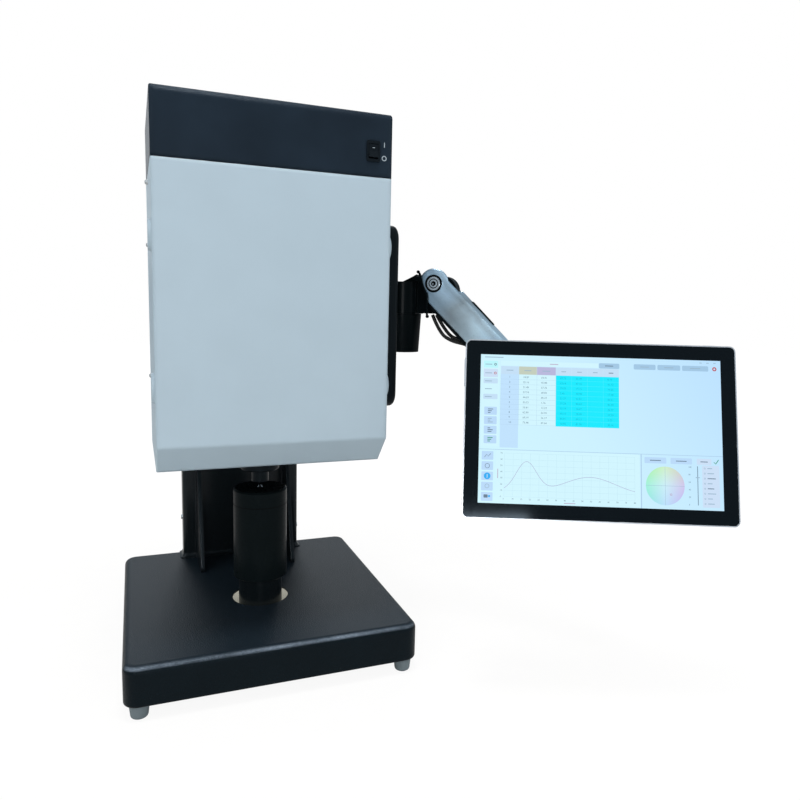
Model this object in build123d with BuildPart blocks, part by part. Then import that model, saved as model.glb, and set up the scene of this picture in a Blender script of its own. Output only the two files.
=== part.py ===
from build123d import *
import os
from math import cos, pi, radians, sin, tan

# Bench-top colorimeter: an upright measuring head on a cast stand, a sprung specimen plunger
# under its port, and a tablet on a wall-plate arm. Millimetres, +Z up, +Y to the rear.
# The origin is the centre of the measuring aperture's lower face, where a specimen is pressed.

os.makedirs("parts", exist_ok=True)

# ---------------------------------------------------------------- clearances
run_gap = 0.05          # radial gap of a shaft that turns or slides in its bore
thread_gap = 0.1        # radial gap of a screw in its hole
seat_gap = 0.3          # gap between faces that pass each other
shell_gap = 0.5         # visible seam between two covers

# ---------------------------------------------------------------- driving dimensions
# stand
port_height = 207.2     # bench to aperture
foot_height = 15.2
foot_radius = 10.4
foot_taper = 6.0        # degrees
foot_round = 2.6
foot_side_inset = 15.5
foot_end_inset = 13.0
foot_boss_radius = 9.0
base_width = 320.0
base_depth = 338.0
base_height = 44.0
base_front = 142.5      # aperture axis to the base's front edge
base_wall = 7.0
base_roof = 8.0
base_corner = 15.0
base_edge = 8.0
base_lip = 3.0
hole_radius = 34.0      # hole under the plunger
hole_wall = 6.0
post_rib_width = 16.0
post_rib_height = 12.0
boss_radius = 12.0

# column
column_width = 164.0
column_depth = 28.0
column_setback = 4.5    # base's rear edge to the column's rear face
column_height = 410.0
column_wall = 8.0
column_corner = 6.0
side_screw_rises = {-1: 57.0, 1: 30.0}  # left and right, above the base
foot_rim = 0.6
foot_slopes = ((4.2, 1.5, 60), (1.6, 3.0, 25))  # spread, rise and slope of each
gusset_spread = 128.0   # over the outer faces of the two gussets
gusset_thickness = 5.5
gusset_reach = 65.0     # column's front face to the gussets' front at the base
gusset_height = 215.0
gusset_toe_height = 5.0
gusset_edge = 1.5

# head
head_width = 244.0
head_depth = 208.0
head_height = 382.0
head_lift = 40.3        # aperture to the head's underside
port_setback = 122.0    # head's front face to the aperture axis
bevel_height = 30.0
bevel_depth = 28.0
band_height = 67.0
cover_wall = 2.5
top_edge = 5.5
side_edge = 2.0
plate_thickness = 4.0
panel_thickness = 2.0
spine_thickness = 3.0
spine_width = 124.0
shelf_depth = 40.0      # the shelf over the power supply
shelf_drop = 12.0       # head's top to the shelf
module_width = 130.0
module_depth = 120.0
module_height = 58.0
board_height = 84.0
board_gap = 5.0
board_thickness = 1.6
supply_depth = 38.0
supply_height = 24.0
capacitor_length = 60.0
boss_inset = 20.0       # head's front face to the side pads
lower_boss_rise = 89.9  # head's underside to the lower pads
upper_boss_rise = 242.7
boss_pad_radius = 16.5
boss_pad_height = 3.2
boss_slot_length = 13.0
boss_slot_width = 3.0
cover_screw_inset = 111.0
lower_screw_rise = 93.2
middle_screw_rise = 238.6
upper_screw_rise = 306.2
cover_screw_radius = 3.0

# switch and sockets
switch_inset = 21.5     # head's right side to the switch
switch_drop = 40.2      # head's top to the switch
switch_width = 14.5
switch_height = 21.5
bezel_lip = 1.6
bezel_proud = 1.0
rocker_width = 10.0
rocker_height = 15.0
rocker_depth = 2.0
rocker_angle = 8.0      # degrees
inlet_inset = 32.0
inlet_drop = 40.0
inlet_width = 47.0
inlet_height = 27.0
socket_inset = 34.0
socket_width = 31.0
socket_height = 12.5

# measuring port
port_ring_radius = 23.2
port_ring_drop = 24.8   # how far the ring hangs below the head
port_bore_radius = 17.0
spigot_radius = 10.4
aperture_radius = 4.0
sphere_radius = 75.0
sphere_wall = 4.0

# plunger
plunger_radius = 32.5
plunger_top = 7.6       # below the aperture at rest
plunger_length = 111.5
cap_height = 19.5
sleeve_wall = 4.0
post_radius = 26.5
post_wall = 5.0
bush_length = 25.0
stop_height = 10.0
plunger_travel = 50.0
spring_radius = 16.0
spring_wire = 1.6
spring_turns = 8

# head bracket
bracket_width = 120.0
bracket_height = 150.0
bracket_wall = 8.0
bracket_flange = 8.0
bracket_ear = 12.0
bracket_lift = 100.0    # head's underside to the bracket's middle
bracket_bolt_radius = 3.0

# wall plate and swivel
plate_width = 108.0
plate_height = 211.6
plate_depth = 14.0
plate_standoff = 9.5
plate_corner = 17.0
plate_edge = 5.0
plate_rim = 6.0
plate_setback = 88.0    # head's front face to the plate's middle
plate_rise = 165.6      # head's underside to the plate's middle
standoff_radius = 9.0
standoff_pitch_y = 50.0
standoff_pitch_z = 110.0
plate_screw_radius = 2.5
barrel_radius = 24.0
barrel_taper = 3.0      # degrees
barrel_height = 47.0
swivel_pin_radius = 8.0

# arm
arm_yaw = -39.0         # plan angle of the arm at rest
arm_slope = -44.5       # slope of the arm at rest
arm_length = 230.0      # pivot to pivot
arm_reach = 44.4        # swivel axis to the lift pivot
lift_pivot_rise = 41.2  # plate's middle to the lift pivot
yoke_drop = 36.8        # lift pivot to the yoke's underside
yoke_rise = 1.7
end_reach = 23.3        # far pivot to the post
link_drop_x = 2.0       # from the lift pivot to the lower link's pivot
link_drop_z = -25.0
arm_half = 15.0         # half the arm's width
arm_cheek = 3.0
arm_end_radius = 18.0
arm_top = 15.0          # pivot line to the top of the shell
arm_bottom_near = 20.7
arm_bottom_far = 17.5
top_wall_start = 28.0
far_cheek_radius = 12.5
link_cheek = 1.6
link_half_height = 7.8
link_floor = 1.8
link_end_radius = 7.8
pin_radius = 5.0
link_pin_radius = 3.0
tongue_dome_x = 9.2      # from the lift pivot to the dome's centre
tongue_dome_z = -8.4
tongue_dome_radius = 17.8
tongue_half = 9.8
shoulder_half = 16.0
link_boss_radius = 11.0
link_half = 11.7
link_floor_start = 34.0
far_wall_end = 20.0
arm_round = 1.2
bulkhead_near = 40.0
bulkhead_far_inset = 24.0  # far pivot to the far bulkhead
bulkhead_thickness = 4.0
bulkhead_lift = 1.8
strip_middle = 64.0
strip_length = 39.0
strip_width = 6.0
strip_depth = 1.6
strip_inset = 8.0
cap_radius = 10.7
cap_bore = 4.6
cap_height_outer = 1.5
end_eye_radius = 9.5
end_boss_radius = 12.0
end_boss_height = 25.5
cable_radius = 2.2
cable_offset = 3.2
cable_slot_middle = 64.0
cable_slot_length = 38.0
cable_slot_half = 6.5

# tablet and its holder
tablet_width = 292.0
tablet_height = 193.5
tablet_thickness = 8.5
tablet_corner = 6.5
tablet_rim = 1.2
top_button_x = 118.5
top_button_length = 14.0
side_button_y = 60.8
side_button_length = 32.0
button_width = 3.0
button_depth = 2.0
button_proud = 0.9
button_travel = 0.6
button_gap = 0.15
glass_thickness = 1.0
screen_width = 258.5
screen_height = 160.5
tablet_yaw = -24.0      # plan angle of the tablet's long edge at rest
tablet_tilt = 15.9      # leans back at rest
neck_reach = 33.8       # post to the tilt axis
tilt_reach = 39.0       # tilt axis to the tablet's mid-plane
tilt_drop = 5.1         # far pivot to the tilt axis
collar_radius = 13.0
collar_height = 26.0
post_pin_radius = 7.0
tilt_pin_radius = 4.0
tilt_block_width = 18.0
tilt_block_radius = 11.0
ear_radius = 9.0
hub_start = 16.0        # tilt axis to the hub
hub_thickness = 6.0
spindle_radius = 6.0
plate_back = 27.0       # tilt axis to the holder's plate
holder_thickness = 3.0
holder_pad_radius = 8.0
ear_thickness = 4.0
hub_radius = 24.0
vesa_size = 115.0
vesa_pitch = 75.0

# ---------------------------------------------------------------- derived places
bench = -port_height
base_bottom = bench + foot_height
base_top = base_bottom + base_height
base_middle_y = base_depth / 2 - base_front
base_back = base_depth - base_front
foot_x = base_width / 2 - foot_side_inset
foot_front_y = foot_end_inset - base_front
foot_back_y = base_back - foot_end_inset

column_back = base_back - column_setback
column_front = column_back - column_depth
column_middle_y = column_back - column_depth / 2
column_top = base_top + column_height
gusset_toe = column_front - gusset_reach

head_bottom = head_lift
head_top = head_bottom + head_height
head_front = -port_setback
head_back = head_front + head_depth
seam = head_top - band_height
bracket_z = head_bottom + bracket_lift
bracket_bolt_x = bracket_width / 2 - bracket_ear * 1.3
bracket_bolt_z = bracket_height / 2 - bracket_ear * 1.3
bracket_spots = [(x, bracket_z + z)
                 for x in (-bracket_bolt_x, bracket_bolt_x) for z in (-bracket_bolt_z, bracket_bolt_z)]
spine_back = head_back - panel_thickness

plate_centre_y = head_front + plate_setback
plate_centre_z = head_bottom + plate_rise
plate_spots = [(plate_centre_y + y, plate_centre_z + z)
               for y in (-standoff_pitch_y / 2, standoff_pitch_y / 2)
               for z in (-standoff_pitch_z / 2, standoff_pitch_z / 2)]
plate_inner = head_width / 2 + plate_standoff
plate_outer = plate_inner + plate_depth
swivel_x = plate_outer + barrel_radius + 0.5
swivel_y = plate_centre_y
lift_pivot_z = plate_centre_z + lift_pivot_rise
barrel_top = lift_pivot_z - yoke_drop - seat_gap
barrel_bottom = barrel_top - barrel_height

arm_dir = Vector(cos(radians(arm_yaw)), sin(radians(arm_yaw)), 0)
arm_front = Vector(sin(radians(arm_yaw)), -cos(radians(arm_yaw)), 0)
swivel = Vector(swivel_x, swivel_y, 0)
lift_pivot = swivel + arm_dir * arm_reach + Vector(0, 0, lift_pivot_z)
arm_along = arm_dir * cos(radians(arm_slope)) + Vector(0, 0, sin(radians(arm_slope)))
far_pivot = lift_pivot + arm_along * arm_length
end_post = far_pivot + arm_dir * end_reach

# planes whose X runs along the arm and whose Z points at the user
yoke_plane = Plane(origin=lift_pivot, x_dir=arm_dir, z_dir=arm_front)
arm_plane = Plane(origin=lift_pivot, x_dir=arm_along, z_dir=arm_front)
bulkhead_far = arm_length - bulkhead_far_inset
end_plane = Plane(origin=far_pivot, x_dir=arm_dir, z_dir=arm_front)

# the tablet's own frame: X along its long edge, Y up its face, Z out of the screen
tablet_x = Vector(cos(radians(tablet_yaw)), sin(radians(tablet_yaw)), 0)
tablet_level = Vector(sin(radians(tablet_yaw)), -cos(radians(tablet_yaw)), 0)
tablet_out = tablet_level * cos(radians(tablet_tilt)) + Vector(0, 0, sin(radians(tablet_tilt)))
tilt_axis_z = far_pivot.Z - tilt_drop
tilt_axis = Vector(end_post.X, end_post.Y, tilt_axis_z) + tablet_level * neck_reach
tablet_centre = tilt_axis + tablet_out * tilt_reach
tablet_plane = Plane(origin=tablet_centre, x_dir=tablet_x, z_dir=tablet_out)
tilt_plane = Plane(origin=tilt_axis, x_dir=tablet_x, z_dir=tablet_out)
neck_plane = Plane(origin=tilt_axis, x_dir=tablet_level, z_dir=-tablet_x)


def save(builder, name):
    """Label a finished piece and write it as its own node."""
    builder.part.label = name
    export_step(builder.part, "parts/" + name + ".step")


def ring(outer, inner, plane):
    """A flat ring drawn on a plane, ready to extrude."""
    with BuildSketch(plane) as face:
        Circle(outer)
        Circle(inner, mode=Mode.SUBTRACT)
    return face.sketch


# ================================================================ stand
foot_spots = {
    "foot_front_left": (-foot_x, foot_front_y),
    "foot_front_right": (foot_x, foot_front_y),
    "foot_rear_left": (-foot_x, foot_back_y),
    "foot_rear_right": (foot_x, foot_back_y),
}
foot_screw_radius = 2.5
foot_screw_length = 22.0
foot_bore_depth = 6.0
column_bolt_radius = 4.0
column_bolt_x = column_width / 2 - 20.0
column_spots = [(-column_bolt_x, column_middle_y), (column_bolt_x, column_middle_y)]
post_screw_y = post_radius - post_wall / 2
post_seat = base_bottom + base_lip + post_rib_height

with BuildPart() as base_casting:
    with BuildSketch(Plane.XY.offset(base_bottom)):
        with Locations((0, base_middle_y)):
            RectangleRounded(base_width, base_depth, base_corner)
    extrude(amount=base_height)
    fillet(base_casting.faces().sort_by(Axis.Z)[-1].edges(), radius=base_edge)
    fillet(base_casting.faces().sort_by(Axis.Z)[0].edges(), radius=base_lip)
    # the casting is hollow and open below
    with BuildSketch(Plane.XY.offset(base_bottom)):
        with Locations((0, base_middle_y)):
            RectangleRounded(base_width - 2 * base_wall, base_depth - 2 * base_wall, base_corner - base_wall)
    extrude(amount=base_height - base_roof, mode=Mode.SUBTRACT)
    # bosses for the feet and the column, and the collar round the plunger's hole
    with BuildSketch(Plane.XY.offset(base_bottom)):
        with Locations(*foot_spots.values()):
            Circle(foot_boss_radius)
        Circle(hole_radius + hole_wall)
    extrude(amount=base_height - base_roof / 2)
    with BuildSketch(Plane.XY.offset(base_bottom + base_wall)):
        with Locations(*column_spots):
            Circle(boss_radius)
    extrude(amount=base_height - base_roof)
    with BuildSketch(Plane.XY.offset(base_top)):
        Circle(hole_radius)
    extrude(amount=-base_height, mode=Mode.SUBTRACT)
    # a rib under the hole carries the plunger's guide post
    with BuildSketch(Plane.XY.offset(base_bottom + base_lip)):
        Rectangle(post_rib_width, 2 * hole_radius + hole_wall)
    extrude(amount=post_rib_height)
    with Locations(*[Location((x, y, base_bottom)) for x, y in foot_spots.values()]):
        Cylinder(foot_screw_radius + thread_gap, foot_screw_length, align=(Align.CENTER, Align.CENTER, Align.MIN),
                 mode=Mode.SUBTRACT)
    with Locations(*[Location((x, y, base_bottom)) for x, y in column_spots]):
        Cylinder(column_bolt_radius + thread_gap, base_height, align=(Align.CENTER, Align.CENTER, Align.MIN),
                 mode=Mode.SUBTRACT)
    with Locations((0, -post_screw_y, base_bottom + base_lip), (0, post_screw_y, base_bottom + base_lip)):
        Cylinder(1.5 + thread_gap, post_rib_height, align=(Align.CENTER, Align.CENTER, Align.MIN),
                 mode=Mode.SUBTRACT)
save(base_casting, "base_casting")

for name, (x, y) in foot_spots.items():
    with BuildPart() as foot:
        with BuildSketch(Plane.XY.offset(base_bottom)):
            with Locations((x, y)):
                Circle(foot_radius)
        extrude(amount=-foot_height, taper=foot_taper)
        fillet(foot.edges().filter_by(GeomType.CIRCLE).sort_by(Axis.Z)[0], radius=foot_round)
        with Locations((x, y, bench)):
            Cylinder(foot_screw_radius * 2, foot_bore_depth, align=(Align.CENTER, Align.CENTER, Align.MIN),
                     mode=Mode.SUBTRACT)
            Cylinder(foot_screw_radius + thread_gap, foot_height, align=(Align.CENTER, Align.CENTER, Align.MIN),
                     mode=Mode.SUBTRACT)
    save(foot, name)

with BuildPart() as foot_screws:
    with Locations(*[Location((x, y, bench + foot_bore_depth)) for x, y in foot_spots.values()]):
        Cylinder(foot_screw_radius * 1.8, 3.0, align=(Align.CENTER, Align.CENTER, Align.MAX))
        Cylinder(foot_screw_radius, foot_screw_length, align=(Align.CENTER, Align.CENTER, Align.MIN))
save(foot_screws, "foot_screws")

gusset_x = gusset_spread / 2 - gusset_thickness
with BuildPart() as column_casting:
    with BuildSketch(Plane.XY.offset(base_top)):
        with Locations((0, column_middle_y)):
            RectangleRounded(column_width, column_depth, column_corner)
    extrude(amount=column_height)
    # the foot spreads onto the base in a hollow curve of two slopes
    foot_rise = base_top
    for spread, rise, slope in ((foot_slopes[0][0], foot_rim, 0), *foot_slopes):
        with BuildSketch(Plane.XY.offset(foot_rise)):
            with Locations((0, column_middle_y)):
                RectangleRounded(column_width + 2 * spread, column_depth + 2 * spread, column_corner)
        extrude(amount=rise, taper=slope)
        foot_rise += rise
    # the back is cored out, leaving a front wall and side walls
    with BuildSketch(Plane.XZ.offset(-column_back)):
        with Locations((0, base_top + column_height / 2)):
            Rectangle(column_width - 2 * column_wall, column_height - 4 * column_wall)
    extrude(amount=column_depth - column_wall, mode=Mode.SUBTRACT)
    # gussets reach forward at the foot and run out up the front wall
    for side in (-1, 1):
        with BuildSketch(Plane.YZ.offset(side * (gusset_x + gusset_thickness / 2))):
            with BuildLine():
                Polyline(
                    (column_front + column_wall / 2, base_top),
                    (gusset_toe, base_top),
                    (gusset_toe, base_top + gusset_toe_height),
                    (column_front, base_top + gusset_height),
                    (column_front + column_wall / 2, base_top + gusset_height),
                    close=True,
                )
            make_face()
        extrude(amount=gusset_thickness / 2, both=True)
    with Locations(*[Location((x, y, base_top)) for x, y in column_spots]):
        Cylinder(column_bolt_radius + thread_gap, 3 * column_wall, align=(Align.CENTER, Align.CENTER, Align.MIN),
                 mode=Mode.SUBTRACT)
    with BuildSketch(Plane.XZ.offset(-column_front)):
        with Locations(*bracket_spots):
            Circle(bracket_bolt_radius + thread_gap)
    extrude(amount=-column_wall, mode=Mode.SUBTRACT)
save(column_casting, "column_casting")

with BuildPart() as column_bolts:
    with Locations(*[Location((x, y, base_bottom + base_wall)) for x, y in column_spots]):
        Cylinder(column_bolt_radius * 1.6, column_bolt_radius, align=(Align.CENTER, Align.CENTER, Align.MAX))
        Cylinder(column_bolt_radius, base_height + column_wall, align=(Align.CENTER, Align.CENTER, Align.MIN))
save(column_bolts, "column_bolts")

with BuildPart() as column_side_screws:
    for side, rise in side_screw_rises.items():
        with BuildSketch(Plane.YZ.offset(side * column_width / 2)):
            with Locations((column_middle_y, base_top + rise)):
                Circle(3.5)
        extrude(amount=side * 2.0, taper=15)
save(column_side_screws, "column_side_screws")

# ================================================================ plunger
plunger_z = -plunger_top
sleeve_bottom = plunger_z - plunger_length
cap_seam = plunger_z - cap_height
bore_radius = plunger_radius - sleeve_wall
bush_top = sleeve_bottom + bush_length
stop_bottom = bush_top + seat_gap
post_top = stop_bottom + stop_height
spring_floor = post_seat + post_wall
spring_ceiling = plunger_z - 8.0

with BuildPart() as guide_post:
    extrude(ring(post_radius, post_radius - post_wall, Plane.XY.offset(post_seat)), amount=post_top - post_seat)
    with BuildSketch(Plane.XY.offset(post_seat)):
        Circle(post_radius)
    extrude(amount=post_wall)
    with Locations((0, -post_screw_y, post_seat), (0, post_screw_y, post_seat)):
        Cylinder(1.5 + thread_gap, post_wall * 3, align=(Align.CENTER, Align.CENTER, Align.MIN),
                 mode=Mode.SUBTRACT)
save(guide_post, "guide_post")

with BuildPart() as post_screws:
    with Locations((0, -post_screw_y, base_bottom + base_lip), (0, post_screw_y, base_bottom + base_lip)):
        Cylinder(2.6, 2.0, align=(Align.CENTER, Align.CENTER, Align.MAX))
        Cylinder(1.5, post_rib_height + 2 * post_wall, align=(Align.CENTER, Align.CENTER, Align.MIN))
save(post_screws, "post_screws")

# the stop ring on the post's head runs in the sleeve and ends its upward travel
with BuildPart() as stop_ring:
    extrude(ring(bore_radius - run_gap, post_radius, Plane.XY.offset(stop_bottom)), amount=stop_height)
save(stop_ring, "stop_ring")

with BuildPart() as plunger_bush:
    extrude(ring(bore_radius, post_radius + run_gap, Plane.XY.offset(sleeve_bottom)), amount=bush_length)
save(plunger_bush, "plunger_bush")

with BuildPart() as plunger_sleeve:
    extrude(ring(plunger_radius, bore_radius, Plane.XY.offset(sleeve_bottom)), amount=cap_seam - sleeve_bottom)
    chamfer(plunger_sleeve.faces().sort_by(Axis.Z)[0].outer_wire().edges(), length=0.8)
    chamfer(plunger_sleeve.faces().sort_by(Axis.Z)[-1].outer_wire().edges(), length=0.6)
save(plunger_sleeve, "plunger_sleeve")

dimple_radius = 3.0
with BuildPart() as plunger_cap:
    with BuildSketch(Plane.XZ):
        with BuildLine():
            Polyline(
                (dimple_radius, plunger_z),
                (plunger_radius - 2.0, plunger_z),
                (plunger_radius, plunger_z - 2.0),
                (plunger_radius, cap_seam),
                (bore_radius, cap_seam),
                (bore_radius, cap_seam - 6.0),
                (bore_radius - 3.0, cap_seam - 6.0),
                (bore_radius - 3.0, spring_ceiling),
                (dimple_radius, spring_ceiling),
                close=True,
            )
        make_face()
    revolve(axis=Axis.Z)
save(plunger_cap, "plunger_cap")

# a bright centring pin stands a little out of the cap
with BuildPart() as centre_pin:
    with BuildSketch(Plane.XY.offset(spring_ceiling - 4.0)):
        Circle(dimple_radius)
    extrude(amount=plunger_z - spring_ceiling + 4.0)
    with BuildSketch(Plane.XY.offset(plunger_z)):
        Circle(dimple_radius)
    extrude(amount=2.4, taper=35)
save(centre_pin, "centre_pin")

spring_height = spring_ceiling - spring_floor - 2 * seat_gap - 2 * spring_wire
with BuildPart() as press_spring:
    with BuildLine() as coil:
        Helix(pitch=spring_height / spring_turns, height=spring_height, radius=spring_radius,
              center=(0, 0, spring_floor + seat_gap + spring_wire))
    with BuildSketch(Plane(origin=coil.line @ 0, z_dir=coil.line % 0)):
        RegularPolygon(spring_wire, 6)
    sweep(path=coil.line, is_frenet=True)
save(press_spring, "press_spring")

# ================================================================ head
switch_x = head_width / 2 - switch_inset
switch_z = head_top - switch_drop
boss_y = head_front + boss_inset
boss_z = (head_bottom + lower_boss_rise, head_bottom + upper_boss_rise)
cover_screw_y = head_front + cover_screw_inset
cover_screw_z = [head_bottom + rise for rise in (lower_screw_rise, middle_screw_rise, upper_screw_rise)]

inner_width = head_width - 2 * cover_wall
bevel_reach = cover_wall * tan(radians(22.5))

with BuildPart() as lower_cover:
    with BuildSketch(Plane.YZ.offset(-head_width / 2)):
        with BuildLine():
            Polyline(
                (head_front, seam),
                (head_front, head_bottom + bevel_height),
                (head_front + bevel_depth, head_bottom),
                (head_back, head_bottom),
                (head_back, seam),
                close=True,
            )
        make_face()
    extrude(amount=head_width)
    fillet(lower_cover.edges().filter_by(Axis.X).group_by(Axis.Y)[0].group_by(Axis.Z)[0], radius=3.0)
    fillet(lower_cover.faces().sort_by(Axis.Y)[0].edges().filter_by(Axis.Z), radius=side_edge)
    # folded from sheet: open at the back, above and below, with the bevel kept
    with BuildSketch(Plane.YZ.offset(-inner_width / 2)):
        with BuildLine():
            Polyline(
                (head_front + cover_wall, seam + 1),
                (head_front + cover_wall, head_bottom + bevel_height + bevel_reach),
                (head_front + bevel_depth + bevel_reach, head_bottom + cover_wall),
                (head_front + bevel_depth + bevel_reach, head_bottom - 1),
                (head_back + 1, head_bottom - 1),
                (head_back + 1, seam + 1),
                close=True,
            )
        make_face()
    extrude(amount=inner_width, mode=Mode.SUBTRACT)
    # raised round pads on both sides, each with a slot
    for side in (-1, 1):
        with BuildSketch(Plane.YZ.offset(side * head_width / 2)):
            with Locations(*[(boss_y, z) for z in boss_z]):
                Circle(boss_pad_radius)
        extrude(amount=side * boss_pad_height, taper=30)
        with BuildSketch(Plane.YZ.offset(side * (head_width / 2 + boss_pad_height))):
            with Locations(*[(boss_y, z - boss_pad_radius / 2) for z in boss_z]):
                SlotOverall(boss_slot_length, boss_slot_width, rotation=90)
        extrude(amount=-side * (boss_pad_height + cover_wall), mode=Mode.SUBTRACT)
    with Locations(*[Location((0, cover_screw_y, z), (0, 90, 0)) for z in cover_screw_z]):
        Cylinder(cover_screw_radius / 2 + thread_gap, head_width + 2, mode=Mode.SUBTRACT)
    with BuildSketch(Plane.YZ.offset(inner_width / 2)):
        with Locations(*plate_spots):
            Circle(plate_screw_radius + thread_gap)
    extrude(amount=cover_wall, mode=Mode.SUBTRACT)
save(lower_cover, "lower_cover")

with BuildPart() as top_cover:
    with BuildSketch(Plane.YZ.offset(-head_width / 2)):
        with BuildLine():
            Polyline(
                (head_front, seam + shell_gap),
                (head_back, seam + shell_gap),
                (head_back, head_top),
                (head_front, head_top),
                close=True,
            )
        make_face()
    extrude(amount=head_width)
    fillet(top_cover.edges().filter_by(Axis.X).group_by(Axis.Z)[-1].group_by(Axis.Y)[0], radius=top_edge)
    fillet(top_cover.faces().sort_by(Axis.Y)[0].edges().filter_by(Axis.Z), radius=side_edge)
    with BuildSketch(Plane.YZ.offset(-inner_width / 2)):
        with BuildLine():
            Polyline(
                (head_front + cover_wall, seam),
                (head_back + 1, seam),
                (head_back + 1, head_top - cover_wall),
                (head_front + cover_wall, head_top - cover_wall),
                close=True,
            )
        make_face()
    extrude(amount=inner_width, mode=Mode.SUBTRACT)
    with BuildSketch(Plane.XZ.offset(-head_front + 1)):
        with Locations((switch_x, switch_z)):
            Rectangle(switch_width - 2 * bezel_lip + 2 * thread_gap, switch_height - 2 * bezel_lip + 2 * thread_gap)
    extrude(amount=-cover_wall - 2, mode=Mode.SUBTRACT)
save(top_cover, "top_cover")

# an inner lip joins the two covers behind the seam
with BuildPart() as seam_strip:
    with BuildSketch(Plane.XY.offset(seam - 10.0)):
        with BuildLine():
            Polyline(
                (-inner_width / 2, head_back - 12.0),
                (-inner_width / 2, head_front + cover_wall),
                (inner_width / 2, head_front + cover_wall),
                (inner_width / 2, head_back - 12.0),
            )
            offset(amount=1.5, side=Side.LEFT)
        make_face()
    extrude(amount=20.0)
    with Locations(Location((0, cover_screw_y, cover_screw_z[-1]), (0, 90, 0))):
        Cylinder(cover_screw_radius / 2 + thread_gap, head_width, mode=Mode.SUBTRACT)
save(seam_strip, "seam_strip")

with BuildPart() as cover_screws:
    for side in (-1, 1):
        for z in cover_screw_z:
            with BuildSketch(Plane.YZ.offset(side * head_width / 2)):
                with Locations((cover_screw_y, z)):
                    Circle(cover_screw_radius)
            extrude(amount=side * 3.4, taper=12)
            with BuildSketch(Plane.YZ.offset(side * head_width / 2)):
                with Locations((cover_screw_y, z)):
                    Circle(cover_screw_radius / 2)
            extrude(amount=-side * 8.0)
save(cover_screws, "cover_screws")

with BuildPart() as switch_bezel:
    with BuildSketch(Plane.XZ.offset(-head_front)):
        with Locations((switch_x, switch_z)):
            RectangleRounded(switch_width, switch_height, 1.2)
    extrude(amount=bezel_proud)
    with BuildSketch(Plane.XZ.offset(-head_front)):
        with Locations((switch_x, switch_z)):
            Rectangle(switch_width - 2 * bezel_lip, switch_height - 2 * bezel_lip)
    extrude(amount=-14.0)
    with BuildSketch(Plane.XZ.offset(-head_front + bezel_proud)):
        with Locations((switch_x, switch_z)):
            Rectangle(rocker_width + 2 * seat_gap, rocker_height + 2 * seat_gap)
    extrude(amount=-13.0, mode=Mode.SUBTRACT)
save(switch_bezel, "switch_bezel")

# the rocker's face is two flats that meet over its pivot; at rest the upper flat is pressed in
rocker_half = rocker_height / 2
rocker_plane = Plane(origin=(switch_x - rocker_width / 2, head_front + rocker_depth, switch_z), x_dir=(0, 1, 0),
                     z_dir=(1, 0, 0))
rocker_nose = -bezel_proud - rocker_depth
rocker_out = 2 * rocker_half * tan(radians(rocker_angle))
with BuildPart() as switch_rocker:
    with BuildSketch(rocker_plane):
        with BuildLine():
            Polyline(
                (rocker_nose, rocker_half - seat_gap),
                (rocker_nose, 0),
                (rocker_nose - rocker_out, -rocker_half * 0.85),
                (rocker_nose + 0.5, -rocker_half * 0.92),
                (rocker_depth, -2.0),
                (rocker_depth, 2.0),
                (rocker_nose + 1.5, rocker_half - seat_gap),
                close=True,
            )
        make_face()
    extrude(amount=rocker_width)
save(switch_rocker, "switch_rocker")

# ---------------------------------------------------------------- head underside and inner frame
plate_front = head_front + bevel_depth + bevel_reach + seat_gap
opening_margin = 12.0
with BuildPart() as port_plate:
    with BuildSketch(Plane.XY.offset(head_bottom)):
        with BuildLine():
            Polyline(
                (-inner_width / 2 + seat_gap, plate_front),
                (inner_width / 2 - seat_gap, plate_front),
                (inner_width / 2 - seat_gap, spine_back),
                (-inner_width / 2 + seat_gap, spine_back),
                close=True,
            )
        make_face()
        Circle(port_bore_radius, mode=Mode.SUBTRACT)
    extrude(amount=plate_thickness)
save(port_plate, "port_plate")

ring_bottom = head_bottom - port_ring_drop
with BuildPart() as port_ring:
    with BuildSketch(Plane.XZ):
        with BuildLine():
            Polyline(
                (port_bore_radius, ring_bottom),
                (port_ring_radius - 1.5, ring_bottom),
                (port_ring_radius, ring_bottom + 1.5),
                (port_ring_radius, head_bottom - 3.0),
                (port_ring_radius + 8.0, head_bottom - 3.0),
                (port_ring_radius + 8.0, head_bottom),
                (port_bore_radius, head_bottom),
                close=True,
            )
        make_face()
    revolve(axis=Axis.Z)
save(port_ring, "port_ring")

# the target mask slips up into the ring; its spigot carries the aperture the specimen covers
with BuildPart() as target_mask:
    with BuildSketch(Plane.XZ):
        with BuildLine():
            Polyline(
                (aperture_radius, 0),
                (spigot_radius - 0.6, 0),
                (spigot_radius, 0.6),
                (spigot_radius, ring_bottom),
                (port_bore_radius - run_gap, ring_bottom),
                (port_bore_radius - run_gap, ring_bottom + 4.0),
                (spigot_radius - 2.0, ring_bottom + 4.0),
                (spigot_radius - 2.0, 3.0),
                (aperture_radius, 1.2),
                close=True,
            )
        make_face()
    revolve(axis=Axis.Z)
save(target_mask, "target_mask")

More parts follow.
